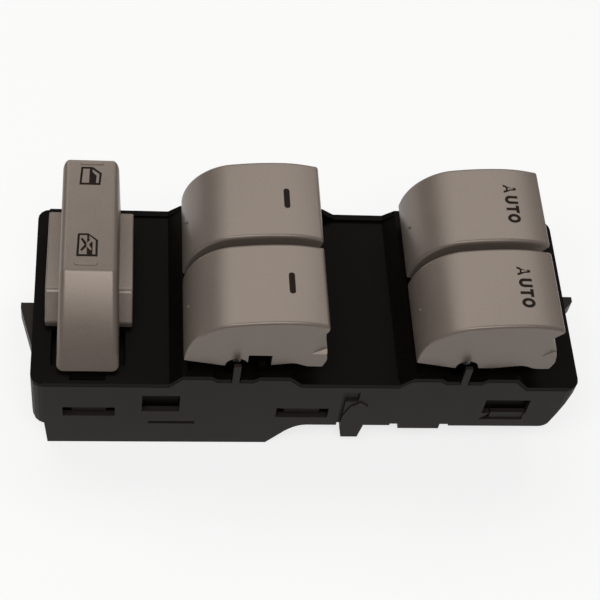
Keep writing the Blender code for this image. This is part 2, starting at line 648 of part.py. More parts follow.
def top_cover():
    plan = rounded_rectangle(HALF_LENGTH, HALF_WIDTH, CORNER_RADIUS)
    inset = WALL + 2 * CLEARANCE
    core = rounded_rectangle(HALF_LENGTH - 2 * WALL, HALF_WIDTH - inset, CORNER_RADIUS - WALL)
    adds = [prism(core, "Z", DECK_UNDER, DECK_CORE)]
    cuts = []
    for side in (-1, 1):
        adds.append(cover_edge(side))
        cuts += edge_recesses(side)
        adds.append(stop_post(pivot_x(PAIRS["rear"]["lip_x"]), side))
    for pair in PAIRS.values():
        lip_x = pair["lip_x"]
        x = pivot_x(lip_x)
        adds += [back_wall(lip_x), ear(x, CLEARANCE - PADDLE_INNER_Y, PADDLE_INNER_Y - CLEARANCE)]
        swing = (PIVOT_HEIGHT + DECK_THICKNESS) * sin(radians(pair["travel"]))
        for side in SIDES.values():
            adds.append(ear(x, side * EAR_INNER_Y, side * EAR_OUTER_Y))
            seat_radius = SPRING_RADIUS - 2 * WIRE_RADIUS - CLEARANCE
            for _, seat_x, seat_y in spring_places(lip_x, side):
                adds.append(rod("Z", seat_x, seat_y, seat_radius, DECK_CORE, DECK_Z + SEAT_HEIGHT, 8))
            cuts.append(box(around(x, ARM_THICKNESS / 2 + swing + CLEARANCE),
                            around(side * PADDLE_MIDDLE_Y, ARM_WIDTH / 2 + CLEARANCE),
                            (DECK_UNDER - WALL, DECK_Z + WALL)))
        bore_end = EAR_OUTER_Y + PADDLE_WALL / 2
        cuts.append(rod("Y", x, PIVOT_Z, BORE_RADIUS, -bore_end, bore_end, 12))
    adds += [make(side, window) for side in (-1, 1) for window in SNAP_WINDOWS for make in (snap_arm, snap_catch)]
    adds += [lock_lug(side) for side in (-1, 1)]
    lug_end = LOCK_LUG_INNER + 2 * LOCK_LUG_THICKNESS
    cuts.append(rod("X", LOCK_PIVOT_Y, LOCK_PIVOT_Z, BORE_RADIUS, LOCK_X - lug_end, LOCK_X + lug_end, 12))
    opening_y = LOCK_SKIRT_NEAR_Y - 2 * CLEARANCE
    well_floor = DECK_Z - LOCK_WELL_DEPTH
    adds.append(box(around(LOCK_X, LOCK_LUG_INNER + LOCK_WELL_WALL), (LOCK_WELL_NEAR_Y - LOCK_WELL_WALL, opening_y),
                    (well_floor - LOCK_WELL_WALL, DECK_CORE)))
    cuts.append(box(around(LOCK_X, LOCK_LUG_INNER), (opening_y, LOCK_SKIRT_FAR_Y + WALL),
                    (well_floor - 2 * LOCK_WELL_WALL, DECK_Z + WALL)))
    cuts.append(box(around(LOCK_X, LOCK_LUG_INNER), (LOCK_WELL_NEAR_Y, opening_y - LOCK_WELL_WALL),
                    (well_floor, DECK_Z + WALL)))
    cuts.append(box(around(LOCK_X, LOCK_NOTCH_LENGTH / 2), (LOCK_NOTCH_Y, LOCK_WELL_NEAR_Y + WALL),
                    (DECK_Z - LOCK_NOTCH_DEPTH, DECK_Z + WALL)))
    return solid("top_cover", black(), prism(plan, "Z", EDGE_UNDER, DECK_Z), adds, cuts)


# Paddles

def roof_height(from_lip, inset=0.0):
    """Height of a paddle's skin over the deck: a long crown that meets a quarter ellipse at the back."""
    run = from_lip - PEAK_FROM_LIP
    crown = PADDLE_PEAK - run * run / (2 * (CROWN_RADIUS if run > 0 else LIP_CURVE)) - inset
    past = from_lip - (PADDLE_LENGTH - BACK_ROUND)
    if past <= 0:
        return crown
    share = min(1.0, past / (BACK_ROUND - inset))
    tall = PADDLE_PEAK - BACK_DROP - BACK_CORNER - inset
    return min(crown, BACK_CORNER + tall * sqrt(1 - share * share))


def roof_points(lip_x, inset, first, crown_steps, back_steps):
    """The skin's outline from near the lip to the back corner."""
    centre = PADDLE_LENGTH - BACK_ROUND
    stations = [first + (centre - first) * i / crown_steps for i in range(crown_steps)]
    for i in range(back_steps + 1):
        stations.append(centre + (BACK_ROUND - inset) * sin(radians(90 * i / back_steps)))
    return [(lip_x - s, DECK_Z + roof_height(s, inset)) for s in stations]


def paddle_outline(lip_x):
    """Side view of a paddle: skirt, toe, hollow end under the lip, crown and round back."""
    skirt_z = DECK_Z + PADDLE_SKIRT
    toe_z = skirt_z + TOE_HEIGHT
    lip_z = DECK_Z + LIP_HEIGHT
    under_z = lip_z - LIP_THICKNESS
    low = [(lip_x - SKIRT_BACK, skirt_z), (lip_x - SKIRT_FRONT, skirt_z),
           (lip_x - SKIRT_STEP, skirt_z + SKIRT_STEP_RISE), (lip_x - TOE_BACK, skirt_z), (lip_x, skirt_z)]
    end = [(lip_x + TOE_REACH, toe_z), (lip_x + 0.3 * TOE_REACH, toe_z + 0.4 * (under_z - toe_z)),
           (lip_x - 0.6 * LIP_UNDERCUT, toe_z + 0.75 * (under_z - toe_z)), (lip_x - LIP_UNDERCUT, under_z),
           (lip_x - 0.2 * LIP_UNDERCUT, under_z + 0.8 * LIP_THICKNESS), (lip_x, lip_z)]
    return low + end + roof_points(lip_x, 0, EDGE_ROUND, 6, 12)


def upper_side_edge(edge):
    """Picks the edges between a paddle's skin and its side faces."""
    flat = [abs(face.normal.y) > 0.9 for face in edge.link_faces]
    lowest = min(vert.co.z for vert in edge.verts)
    highest = max(vert.co.z for vert in edge.verts)
    return sum(flat) == 1 and highest > DECK_Z + 8.5 * mm and lowest > DECK_Z + BACK_CORNER - CLEARANCE


def end_scoop(lip_x, side):
    """The dished finger hollow in the end wall."""
    bm = bmesh.new()
    bmesh.ops.create_uvsphere(bm, u_segments=20, v_segments=10, radius=1)
    reach = 9 * mm
    bmesh.ops.scale(bm, vec=(reach, 9.4 * mm, 6.6 * mm), verts=bm.verts)
    centre = (lip_x + reach - SCOOP_DEPTH, side * PADDLE_MIDDLE_Y, DECK_Z + SCOOP_HEIGHT)
    bmesh.ops.translate(bm, vec=centre, verts=bm.verts)
    return bm


def side_pocket(lip_x, side):
    """The shallow relief in the outer side face beside the finger hollow."""
    outline = [(lip_x - 4.4 * mm, DECK_Z + 12 * mm), (lip_x + 2 * mm, DECK_Z + 12 * mm),
               (lip_x + 2 * mm, DECK_Z + 21.4 * mm), (lip_x - 2.6 * mm, DECK_Z + 21.4 * mm),
               (lip_x - 4.6 * mm, DECK_Z + 17.5 * mm)]
    return prism(outline, "Y", side * (PADDLE_OUTER_Y - POCKET_DEPTH), side * (PADDLE_OUTER_Y + WALL))


def paddle(pair, hand):
    lip_x = PAIRS[pair]["lip_x"]
    side = SIDES[hand]
    x = pivot_x(lip_x)
    inner, outer = side * PADDLE_INNER_Y, side * PADDLE_OUTER_Y
    shell = prism(paddle_outline(lip_x), "Y", inner, outer)
    bevelled(shell, EDGE_ROUND, 2, upper_side_edge)
    wall = side * PADDLE_WALL
    roof = roof_points(lip_x, PADDLE_WALL, END_BLOCK, 4, 8)
    low = DECK_Z
    hollow = [(roof[-1][0], low), (roof[0][0], low)] + roof
    past = side * WALL
    cuts = [prism(hollow, "Y", inner + wall, outer - wall),
            rod("Y", x, PIVOT_Z, ARCH_RADIUS, inner - past, outer + past),
            box(around(x, ARCH_RADIUS * cos(radians(11))), sorted((inner - past, outer + past)), (low, PIVOT_Z)),
            end_scoop(lip_x, side), side_pocket(lip_x, side)]
    if pair == "rear":
        notch_x = (x + ARCH_RADIUS - CLEARANCE, x + ARCH_RADIUS + SIDE_NOTCH_LENGTH)
        notch_y = sorted((outer - 1.2 * wall, outer + past))
        cuts.append(box(notch_x, notch_y, (low, DECK_Z + SIDE_NOTCH_HEIGHT)))
    return solid(f"paddle_{pair}_{hand}", silver(), shell, (), cuts)


def carrier(pair, hand):
    """The rocking frame clipped inside a paddle: sleeve, plate, two ribs and the lever arm."""
    lip_x = PAIRS[pair]["lip_x"]
    side = SIDES[hand]
    x = pivot_x(lip_x)
    y0, y1 = side * SLEEVE_INNER_Y, side * SLEEVE_OUTER_Y
    middle = side * PADDLE_MIDDLE_Y
    plate_top = PLATE_Z + PLATE_THICKNESS
    plate = box(around(x, PLATE_REACH), sorted((y0, y1)), (PLATE_Z, plate_top))
    stations = [PIVOT_FROM_LIP + CARRIER_RIB_BACK - (CARRIER_RIB_BACK + CARRIER_RIB_FRONT) * i / 4
                for i in range(5)]
    top = [(lip_x - s, DECK_Z + roof_height(s, PADDLE_WALL) - CLEARANCE) for s in stations]
    ribs = [(top[-1][0], plate_top - PLATE_THICKNESS / 2), (top[0][0], plate_top - PLATE_THICKNESS / 2)] + top
    adds = [rod("Y", x, PIVOT_Z, SLEEVE_RADIUS, y0, y1),
            box(around(x, SLEEVE_RADIUS / 2), sorted((y0, y1)), (PIVOT_Z, PLATE_Z + PLATE_THICKNESS / 2)),
            prism(ribs, "Y", y0, y0 + side * CARRIER_RIB), prism(ribs, "Y", y1 - side * CARRIER_RIB, y1),
            box(around(x, ARM_THICKNESS / 2), around(middle, ARM_WIDTH / 2), (ARM_TIP_Z, PIVOT_Z)),
            rod("Y", x, ARM_TIP_Z, ARM_THICKNESS / 2, middle - ARM_WIDTH / 2, middle + ARM_WIDTH / 2, 12)]
    cuts = [rod("Y", x, PIVOT_Z, BORE_RADIUS, y0 - side * WALL, y1 + side * WALL, 12)]
    return solid(f"carrier_{pair}_{hand}", dark_nylon(), plate, adds, cuts)


# Sliding contacts under the deck

def spans(centre, along, half_along, half_across):
    """The x and y limits of a block whose length lies along X or Y."""
    halves = (half_along, half_across) if along == "X" else (half_across, half_along)
    return around(centre[0], halves[0]), around(centre[1], halves[1])


def slider(name, centre, along, fork_height):
    body = box(*spans(centre, along, SLIDER_LENGTH / 2, SLIDER_WIDTH / 2), (SLIDER_BOTTOM, SLIDER_TOP))
    adds = []
    reach = ARM_THICKNESS / 2 + CLEARANCE + FORK_FINGER / 2
    for end in (-1, 1):
        place = (centre[0] + end * reach, centre[1]) if along == "X" else (centre[0], centre[1] + end * reach)
        adds.append(box(*spans(place, along, FORK_FINGER / 2, ARM_WIDTH / 2),
                        (SLIDER_TOP - SLIDER_HEIGHT / 2, SLIDER_TOP + fork_height)))
    return solid(name, pale_nylon(), body, adds)


def wiper(name, centre, along):
    """A bent copper strip under a slider that bridges the board's tracks."""
    half = SLIDER_LENGTH / 2 - WIPER_THICKNESS
    middle = centre[0] if along == "X" else centre[1]
    across = centre[1] if along == "X" else centre[0]
    line = [(-half, WIPER_RISE), (-0.7 * half, 0), (-0.45 * half, 0), (-0.25 * half, WIPER_RISE),
            (0.25 * half, WIPER_RISE), (0.45 * half, 0), (0.7 * half, 0), (half, WIPER_RISE)]
    under = [(middle + u, WIPER_BOTTOM + v) for u, v in line]
    over = [(u, v + WIPER_THICKNESS) for u, v in reversed(under)]
    return solid(name, copper(), prism(under + over, "Y" if along == "X" else "X",
                                       across - WIPER_WIDTH / 2, across + WIPER_WIDTH / 2))


def guide_frame(name, centres, along, travel):
    """A low frame on the board with one channel for each slider."""
    half_along = SLIDER_LENGTH / 2 + travel + CLEARANCE
    half_across = SLIDER_WIDTH / 2 + CLEARANCE
    middle = (sum(c[0] for c in centres) / len(centres), sum(c[1] for c in centres) / len(centres))
    spread = max(abs(c[1] - middle[1]) for c in centres)
    outside = box(*spans(middle, along, half_along + GUIDE_WALL, half_across + GUIDE_WALL + spread),
                  (WIPER_BOTTOM, WIPER_BOTTOM + GUIDE_HEIGHT))
    cuts = [box(*spans(c, along, half_along, half_across), (BOARD_UNDER, DECK_Z)) for c in centres]
    return solid(name, dark_nylon(), outside, (), cuts)


def coil_spring(name, x, y, low, high):
    """A compression spring: one wire swept along a helix between two flat cut ends."""
    steps = 8 * SPRING_TURNS
    sides = 4
    middle_radius = SPRING_RADIUS - WIRE_RADIUS
    bm = bmesh.new()
    rings = []
    for i in range(steps + 1):
        turn = radians(360 * SPRING_TURNS * i / steps)
        z = low + WIRE_RADIUS + (high - low - 2 * WIRE_RADIUS) * i / steps
        ring = []
        for j in range(sides):
            a = radians(360 * j / sides)
            r = middle_radius + WIRE_RADIUS * cos(a)
            ring.append(bm.verts.new((x + r * cos(turn), y + r * sin(turn), z + WIRE_RADIUS * sin(a))))
        rings.append(ring)
    for lower, upper in zip(rings, rings[1:]):
        for j in range(sides):
            k = (j + 1) % sides
            bm.faces.new((lower[j], lower[k], upper[k], upper[j]))
    bm.faces.new(rings[0])
    bm.faces.new(rings[-1])
    bmesh.ops.recalc_face_normals(bm, faces=bm.faces)
    return solid(name, steel(), bm)


# Circuit board and connector

def board_limits():
    x = (-HALF_LENGTH + WALL + BOARD_MARGIN, HALF_LENGTH - WALL - RIGHT_TAPER - BOARD_MARGIN)
    return x, around(0, HALF_WIDTH - WALL - BOARD_MARGIN)


def terminal_places():
    for row in (-1, 1):
        for i in range(TERMINALS_IN_ROW):
            x = HEADER_X + (i - (TERMINALS_IN_ROW - 1) / 2) * TERMINAL_PITCH
            yield x, row * TERMINAL_ROW_SPACING / 2


def circuit_board():
    x, y = board_limits()
    hole = TERMINAL_SIZE / 2 + CLEARANCE
    past = (BOARD_UNDER - WALL, BOARD_TOP + WALL)
    cuts = [rod("Z", sx, sy, SCREW_RADIUS + CLEARANCE, *past, 12) for sx, sy in screw_places()]
    cuts += [box(around(tx, hole), around(ty, hole), past) for tx, ty in terminal_places()]
    return solid("circuit_board", laminate(), box(x, y, (BOARD_UNDER, BOARD_TOP)), (), cuts)


def connector_header():
    """The socket shroud under the board, with its terminals moulded in."""
    top = BOARD_UNDER - CLEARANCE
    roof = top - HEADER_ROOF
    half_x, half_y = HEADER_LENGTH / 2, HEADER_WIDTH / 2
    shroud = prism(rounded_rectangle(half_x, half_y, HEADER_WALL, 2), "Z", HEADER_RECESS, top)
    for vert in shroud.verts:
        vert.co.x += HEADER_X
    header = add_object("connector_header", shroud, black())
    socket = box(around(HEADER_X, half_x - HEADER_WALL), around(0, half_y - HEADER_WALL), (-WALL, roof))
    key = box(around(HEADER_X, KEY_LENGTH / 2), (half_y - 2 * HEADER_WALL, half_y + WALL), (-WALL, KEY_DEPTH))
    combine(header, [socket, key], "DIFFERENCE")
    half = TERMINAL_SIZE / 2
    reach = (roof - TERMINAL_REACH, BOARD_TOP)
    terminals = [box(around(tx, half), around(ty, half), reach) for tx, ty in terminal_places()]
    return finish(header, terminals)


def board_screw(number, x, y):
    shank = rod("Z", x, y, SCREW_RADIUS, SCREW_TIP_Z,
                BOARD_TOP + CLEARANCE + SCREW_HEAD_HEIGHT / 2, 10)
    head = rod("Z", x, y, SCREW_HEAD_RADIUS, BOARD_TOP + CLEARANCE, BOARD_TOP + CLEARANCE + SCREW_HEAD_HEIGHT, 12)
    return solid(f"board_screw_{number}", steel(), head, [shank])


# Window lock rocker

def lock_top_z(y):
    """Height of the rocker's flat top, a straight line from its bend to its far end."""
    slope = (LOCK_TOP_HEIGHT - LOCK_BEND_HEIGHT) / (LOCK_FAR_Y - LOCK_BEND_Y)
    return DECK_Z + LOCK_BEND_HEIGHT + slope * (y - LOCK_BEND_Y)


def lock_face(inset, steps):
    """The rounded near face from its foot up to the bend, bulging by the sag."""
    foot = (LOCK_NEAR_Y + inset, DECK_Z + LOCK_NEAR_HEIGHT)
    bend = (LOCK_BEND_Y + inset * 0.3, DECK_Z + LOCK_BEND_HEIGHT - inset)
    run, rise = bend[0] - foot[0], bend[1] - foot[1]
    span = sqrt(run * run + rise * rise)
    points = []
    for i in range(steps + 1):
        t = i / steps
        bulge = 4 * (LOCK_FACE_SAG - 0.2 * inset) * t * (1 - t)
        points.append((foot[0] + run * t - bulge * rise / span, foot[1] + rise * t + bulge * run / span))
    return points


def lock_bar_outline():
    corner = 1.4 * mm
    far_top = lock_top_z(LOCK_FAR_Y - corner)
    return (lock_face(0, 8) + [(LOCK_FAR_Y - corner, far_top), (LOCK_FAR_Y - 0.3 * corner, far_top - 0.2 * corner),
            (LOCK_FAR_Y, far_top - corner), (LOCK_FAR_Y - 0.6 * mm, DECK_Z + LOCK_FAR_HEIGHT)])


def drafted(bm, base_half, top_half):
    """Narrows a rocker solid towards its top, for the mould's draft."""
    for vert in bm.verts:
        share = (vert.co.z - DECK_Z) / LOCK_TOP_HEIGHT
        half = base_half + (top_half - base_half) * share
        vert.co.x = LOCK_X + (vert.co.x - LOCK_X) * half / base_half
    return bm


def lock_side_edge(edge):
    flat = [abs(face.normal.x) > 0.9 for face in edge.link_faces]
    return sum(flat) == 1 and max(vert.co.z for vert in edge.verts) > DECK_Z + LOCK_FAR_HEIGHT + WALL


def wing_outline():
    under = WING_THICKNESS
    return [(WING_NEAR[0], DECK_Z + WING_NEAR[1]), (WING_RIDGE[0], DECK_Z + WING_RIDGE[1]),
            (WING_FAR[0], DECK_Z + WING_FAR[1]), (WING_FAR[0], DECK_Z + WING_FAR[1] - under),
            (WING_RIDGE[0] + 0.2 * under, DECK_Z + WING_RIDGE[1] - 1.1 * under),
            (WING_NEAR[0] + 0.3 * under, DECK_Z + WING_NEAR[1] - under), (WING_NEAR[0], DECK_Z + WING_NEAR[1] - under)]


def wing_middle(y):
    """Height halfway through the wings' thickness."""
    end = WING_FAR if y > WING_RIDGE[0] else WING_NEAR
    share = (y - WING_RIDGE[0]) / (end[0] - WING_RIDGE[0])
    return DECK_Z + WING_RIDGE[1] + share * (end[1] - WING_RIDGE[1]) - WING_THICKNESS / 2


def lock_rocker():
    bar = prism(lock_bar_outline(), "X", LOCK_X - LOCK_HALF_WIDTH, LOCK_X + LOCK_HALF_WIDTH)
    bevelled(bar, LOCK_EDGE_ROUND, 2, lock_side_edge)
    drafted(bar, LOCK_HALF_WIDTH, LOCK_TOP_HALF_WIDTH)
    wings = prism(wing_outline(), "X", LOCK_X - WING_HALF_WIDTH, LOCK_X + WING_HALF_WIDTH)
    skirt_low = LOCK_PIVOT_Z - LOCK_SKIRT_DROP
    skirt = prism([(LOCK_SKIRT_NEAR_Y, skirt_low), (LOCK_SKIRT_FAR_Y, skirt_low),
                   (LOCK_SKIRT_FAR_Y, wing_middle(LOCK_SKIRT_FAR_Y)), (WING_RIDGE[0], wing_middle(WING_RIDGE[0])),
                   (LOCK_SKIRT_NEAR_Y, wing_middle(LOCK_SKIRT_NEAR_Y))], "X",
                  LOCK_X - LOCK_SKIRT_HALF_WIDTH, LOCK_X + LOCK_SKIRT_HALF_WIDTH)
    inner_half = LOCK_HALF_WIDTH - LOCK_WALL
    far_y = LOCK_FAR_Y - LOCK_WALL
    below = DECK_Z - LOCK_TOP_HEIGHT
    hollow = ([(LOCK_NEAR_Y + LOCK_WALL, below)] + lock_face(LOCK_WALL, 5)
              + [(far_y, lock_top_z(far_y) - LOCK_WALL), (far_y - 0.6 * mm, below)])
    room = drafted(prism(hollow, "X", LOCK_X - inner_half, LOCK_X + inner_half), LOCK_HALF_WIDTH, LOCK_TOP_HALF_WIDTH)
    skirt_room = box(around(LOCK_X, LOCK_SKIRT_HALF_WIDTH - LOCK_WALL),
                     (LOCK_SKIRT_NEAR_Y + LOCK_WALL, LOCK_SKIRT_FAR_Y - LOCK_WALL),
                     (below, DECK_Z + WING_FAR[1] - WING_THICKNESS - CLEARANCE))
    reach = LOCK_SKIRT_HALF_WIDTH + WALL
    bore = rod("X", LOCK_PIVOT_Y, LOCK_PIVOT_Z, BORE_RADIUS, LOCK_X - reach, LOCK_X + reach, 12)
    return solid("lock_rocker", silver(), bar, [wings, skirt], [room, skirt_room, bore])


def lock_carrier():
    """The frame inside the lock rocker: sleeve on the pin, a rib up to the top and the lever arm."""
    half = LOCK_SKIRT_HALF_WIDTH - LOCK_WALL - CLEARANCE
    rib_half = ARM_WIDTH / 2
    sleeve = rod("X", LOCK_PIVOT_Y, LOCK_PIVOT_Z, SLEEVE_RADIUS, LOCK_X - half, LOCK_X + half)
    near_y, far_y = LOCK_PIVOT_Y - SLEEVE_RADIUS / 2, LOCK_PIVOT_Y + 6 * SLEEVE_RADIUS
    gap = LOCK_WALL + 2 * CLEARANCE
    rib = [(near_y, LOCK_PIVOT_Z), (LOCK_PIVOT_Y + SLEEVE_RADIUS / 2, LOCK_PIVOT_Z), (far_y, DECK_Z + LOCK_FAR_HEIGHT),
           (far_y, lock_top_z(far_y) - gap), (near_y, lock_top_z(near_y) - gap)]
    adds = [prism(rib, "X", LOCK_X - rib_half, LOCK_X + rib_half),
            box(around(LOCK_X, rib_half), around(LOCK_PIVOT_Y, ARM_THICKNESS / 2), (ARM_TIP_Z, LOCK_PIVOT_Z)),
            rod("X", LOCK_PIVOT_Y, ARM_TIP_Z, ARM_THICKNESS / 2, LOCK_X - rib_half, LOCK_X + rib_half, 12)]
    cuts = [rod("X", LOCK_PIVOT_Y, LOCK_PIVOT_Z, BORE_RADIUS, LOCK_X - half - WALL, LOCK_X + half + WALL, 12)]
    return solid("lock_carrier", dark_nylon(), sleeve, adds, cuts)


# The whole switch

def window_works(pair, hand):
    """One window's paddle and everything that it moves."""
    lip_x = PAIRS[pair]["lip_x"]
    side = SIDES[hand]
    x = pivot_x(lip_x)
    middle = (x, side * PADDLE_MIDDLE_Y)
    rocking = [paddle(pair, hand), carrier(pair, hand)]
    hang(f"axis_{pair}_{hand}", (x, middle[1], PIVOT_Z), rocking)
    sliding = [slider(f"slider_{pair}_{hand}", middle, "X", FORK_HEIGHT), wiper(f"wiper_{pair}_{hand}", middle, "X")]
    hang(f"track_{pair}_{hand}", (*middle, SLIDER_BOTTOM), sliding)
    for end, spring_x, spring_y in spring_places(lip_x, side):
        coil_spring(f"spring_{pair}_{hand}_{end}", spring_x, spring_y, DECK_Z + CLEARANCE, PLATE_Z - CLEARANCE)


def pair_works(pair):
    lip_x = PAIRS[pair]["lip_x"]
    x = pivot_x(lip_x)
    reach = EAR_OUTER_Y + PADDLE_WALL / 2 - CLEARANCE
    solid(f"pivot_pin_{pair}", steel(), rod("Y", x, PIVOT_Z, PIN_RADIUS, -reach, reach, 12))
    travel = (PIVOT_Z - ARM_TIP_Z) * sin(radians(PAIRS[pair]["travel"]))
    centres = [(x, side * PADDLE_MIDDLE_Y) for side in SIDES.values()]
    guide_frame(f"contact_guide_{pair}", centres, "X", travel)
    for hand in SIDES:
        window_works(pair, hand)


def lock_works():
    centre = (LOCK_X, LOCK_PIVOT_Y)
    hang("axis_lock", (LOCK_X, LOCK_PIVOT_Y, LOCK_PIVOT_Z), [lock_rocker(), lock_carrier()])
    hang("track_lock", (*centre, SLIDER_BOTTOM),
         [slider("slider_lock", centre, "Y", LOCK_FORK_HEIGHT), wiper("wiper_lock", centre, "Y")])
    reach = LOCK_LUG_INNER + LOCK_LUG_THICKNESS
    solid("pivot_pin_lock", steel(),
          rod("X", LOCK_PIVOT_Y, LOCK_PIVOT_Z, PIN_RADIUS, LOCK_X - reach, LOCK_X + reach, 12))
    travel = (LOCK_PIVOT_Z - ARM_TIP_Z) * sin(radians(LOCK_TRAVEL))
    guide_frame("contact_guide_lock", [centre], "Y", travel)


clear_scene()
base_housing()
top_cover()
circuit_board()
connector_header()
for number, (screw_x, screw_y) in enumerate(screw_places(), 1):
    board_screw(number, screw_x, screw_y)
for pair_name in PAIRS:
    pair_works(pair_name)
lock_works()
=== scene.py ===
# Looks of the power window switch: camera, light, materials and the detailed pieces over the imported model.
# Metres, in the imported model's own frame: X along the housing, Y away from the viewer, Z up.
import json
from math import cos, pi, radians, sin, sqrt

import bmesh
import bpy
from mathutils import Matrix, Vector


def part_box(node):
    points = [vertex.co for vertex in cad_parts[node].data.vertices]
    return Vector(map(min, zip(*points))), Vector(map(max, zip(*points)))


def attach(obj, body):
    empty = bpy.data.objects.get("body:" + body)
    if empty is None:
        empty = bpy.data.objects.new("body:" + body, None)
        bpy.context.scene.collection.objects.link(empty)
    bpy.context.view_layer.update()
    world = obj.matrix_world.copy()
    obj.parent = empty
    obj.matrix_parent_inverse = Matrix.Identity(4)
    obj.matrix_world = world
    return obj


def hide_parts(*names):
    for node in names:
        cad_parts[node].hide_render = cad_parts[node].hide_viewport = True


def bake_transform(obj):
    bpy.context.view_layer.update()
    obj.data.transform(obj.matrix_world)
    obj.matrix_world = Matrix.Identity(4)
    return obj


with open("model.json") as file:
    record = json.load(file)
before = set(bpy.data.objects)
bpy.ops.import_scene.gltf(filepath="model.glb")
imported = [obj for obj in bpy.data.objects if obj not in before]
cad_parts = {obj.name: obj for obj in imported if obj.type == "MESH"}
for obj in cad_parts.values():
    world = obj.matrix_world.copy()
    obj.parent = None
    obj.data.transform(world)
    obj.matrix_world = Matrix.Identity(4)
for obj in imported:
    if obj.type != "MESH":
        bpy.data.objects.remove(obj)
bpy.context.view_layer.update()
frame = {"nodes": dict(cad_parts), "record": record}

mm = 0.001
CLEARANCE = 0.3 * mm

# The deck's top face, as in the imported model
DECK_Z = 28.7 * mm

# Paddles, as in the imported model
PADDLE_LENGTH = 34.8 * mm
PADDLE_WIDTH = 24 * mm
PADDLE_GAP = 2.2 * mm
PADDLE_WALL = 1.6 * mm
PADDLE_PEAK = 25.3 * mm
PADDLE_SKIRT = 6.1 * mm
BACK_ROUND = 14.7 * mm
BACK_CORNER = 8.4 * mm
BACK_DROP = 0.9 * mm
PEAK_FROM_LIP = 9.5 * mm
CROWN_RADIUS = 72 * mm
LIP_CURVE = 30 * mm
TOE_REACH = 0.9 * mm
TOE_BACK = 4 * mm
TOE_HEIGHT = 3.2 * mm
LIP_HEIGHT = 22.9 * mm
LIP_THICKNESS = 2.7 * mm
END_BLOCK = 6.5 * mm
SKIRT_BACK = 24.9 * mm
SKIRT_FRONT = 15 * mm
SKIRT_STEP = 7.2 * mm
SKIRT_STEP_RISE = 1.5 * mm
SCOOP_DEPTH = 3.2 * mm
SCOOP_HEIGHT = 14.5 * mm
SCOOP_RADII = (9 * mm, 9.4 * mm, 6.6 * mm)
PIVOT_FROM_LIP = 21.5 * mm
PIVOT_HEIGHT = 6.5 * mm
ARCH_RADIUS = 2.9 * mm
SIDE_NOTCH_LENGTH = 5.6 * mm
SIDE_NOTCH_HEIGHT = 11 * mm
SIDE_NOTCH_DEPTH = 1.2 * PADDLE_WALL
LIPS = {"rear": 2.4 * mm, "front": 60.7 * mm}
SIDES = {"right": -1, "left": 1}
PADDLE_INNER_Y = PADDLE_GAP / 2
PADDLE_OUTER_Y = PADDLE_INNER_Y + PADDLE_WIDTH
PADDLE_MIDDLE_Y = PADDLE_INNER_Y + PADDLE_WIDTH / 2
PIVOT_Z = DECK_Z + PIVOT_HEIGHT

# Lock rocker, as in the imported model
LOCK_X = -55.9 * mm
LOCK_PIVOT_Y = -3 * mm
LOCK_PIVOT_Z = DECK_Z - 4.2 * mm
LOCK_HALF_WIDTH = 7.8 * mm
LOCK_TOP_HALF_WIDTH = 7 * mm
LOCK_TOP_HEIGHT = 24 * mm
LOCK_BEND_HEIGHT = 18.1 * mm
LOCK_BEND_Y = -5.4 * mm
LOCK_NEAR_Y = -24.1 * mm
LOCK_NEAR_HEIGHT = 0.8 * mm
LOCK_FAR_Y = 25.2 * mm
LOCK_FAR_HEIGHT = 4.6 * mm
LOCK_FAR_LEAN = 0.6 * mm
LOCK_WALL = 1.6 * mm
WING_HALF_WIDTH = 11 * mm
WING_THICKNESS = 1.6 * mm
WING_FAR = (22.6 * mm, 5.3 * mm)
WING_RIDGE = (-3.9 * mm, 7.8 * mm)
WING_NEAR = (-10.3 * mm, 2.2 * mm)
LOCK_SKIRT_HALF_WIDTH = 8.7 * mm
LOCK_SKIRT_NEAR_Y = -8.6 * mm
LOCK_SKIRT_FAR_Y = 16.5 * mm
LOCK_SKIRT_DROP = 2.6 * mm
BORE_RADIUS = 1.3 * mm

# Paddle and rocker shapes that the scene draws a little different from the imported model
LIP_UNDERCUTS = {"rear": 0.7 * mm, "front": 2.3 * mm}
POCKET_LENGTH = 3.4 * mm
POCKET_PAST_LIP = 2 * mm
POCKET_LOW = 12 * mm
POCKET_HIGH = 21.4 * mm
POCKET_LEAN = 1.6 * mm
POCKET_DEPTH = 0.1 * mm
POCKET_FLARE = 0.3
SHELF_SLOPE = 0.65
LOCK_FACE_SAG = 1.3 * mm
BULGE_AT_FOOT, BULGE_FALL = 4.8, 1.6

# Roundings that only the scene carries, the angle of its sharp edges and the steps along its curves
SIDE_ROUND = 0.9 * mm
LIP_ROUND = 0.45 * mm
LIP_SHARE = 0.45
LIP_FADE_START, LIP_FADE_LENGTH = 0.2 * mm, 1.5 * mm
SKIRT_SHARE = 0.25
CORNER_FADE = 2 * mm
LOCK_ROUND = 1.8 * mm
LOCK_FADE = 5 * mm
WING_ROUND = 0.45 * mm
SHARP_ANGLE = 35
OUTER_STEPS = (26, 34)
INNER_STEPS = (16, 20)
ROD_SIDES = 40
CORNER_STEPS = 6
LONGEST_BLEND = 0.48
SHARPEST_BEND = 0.5

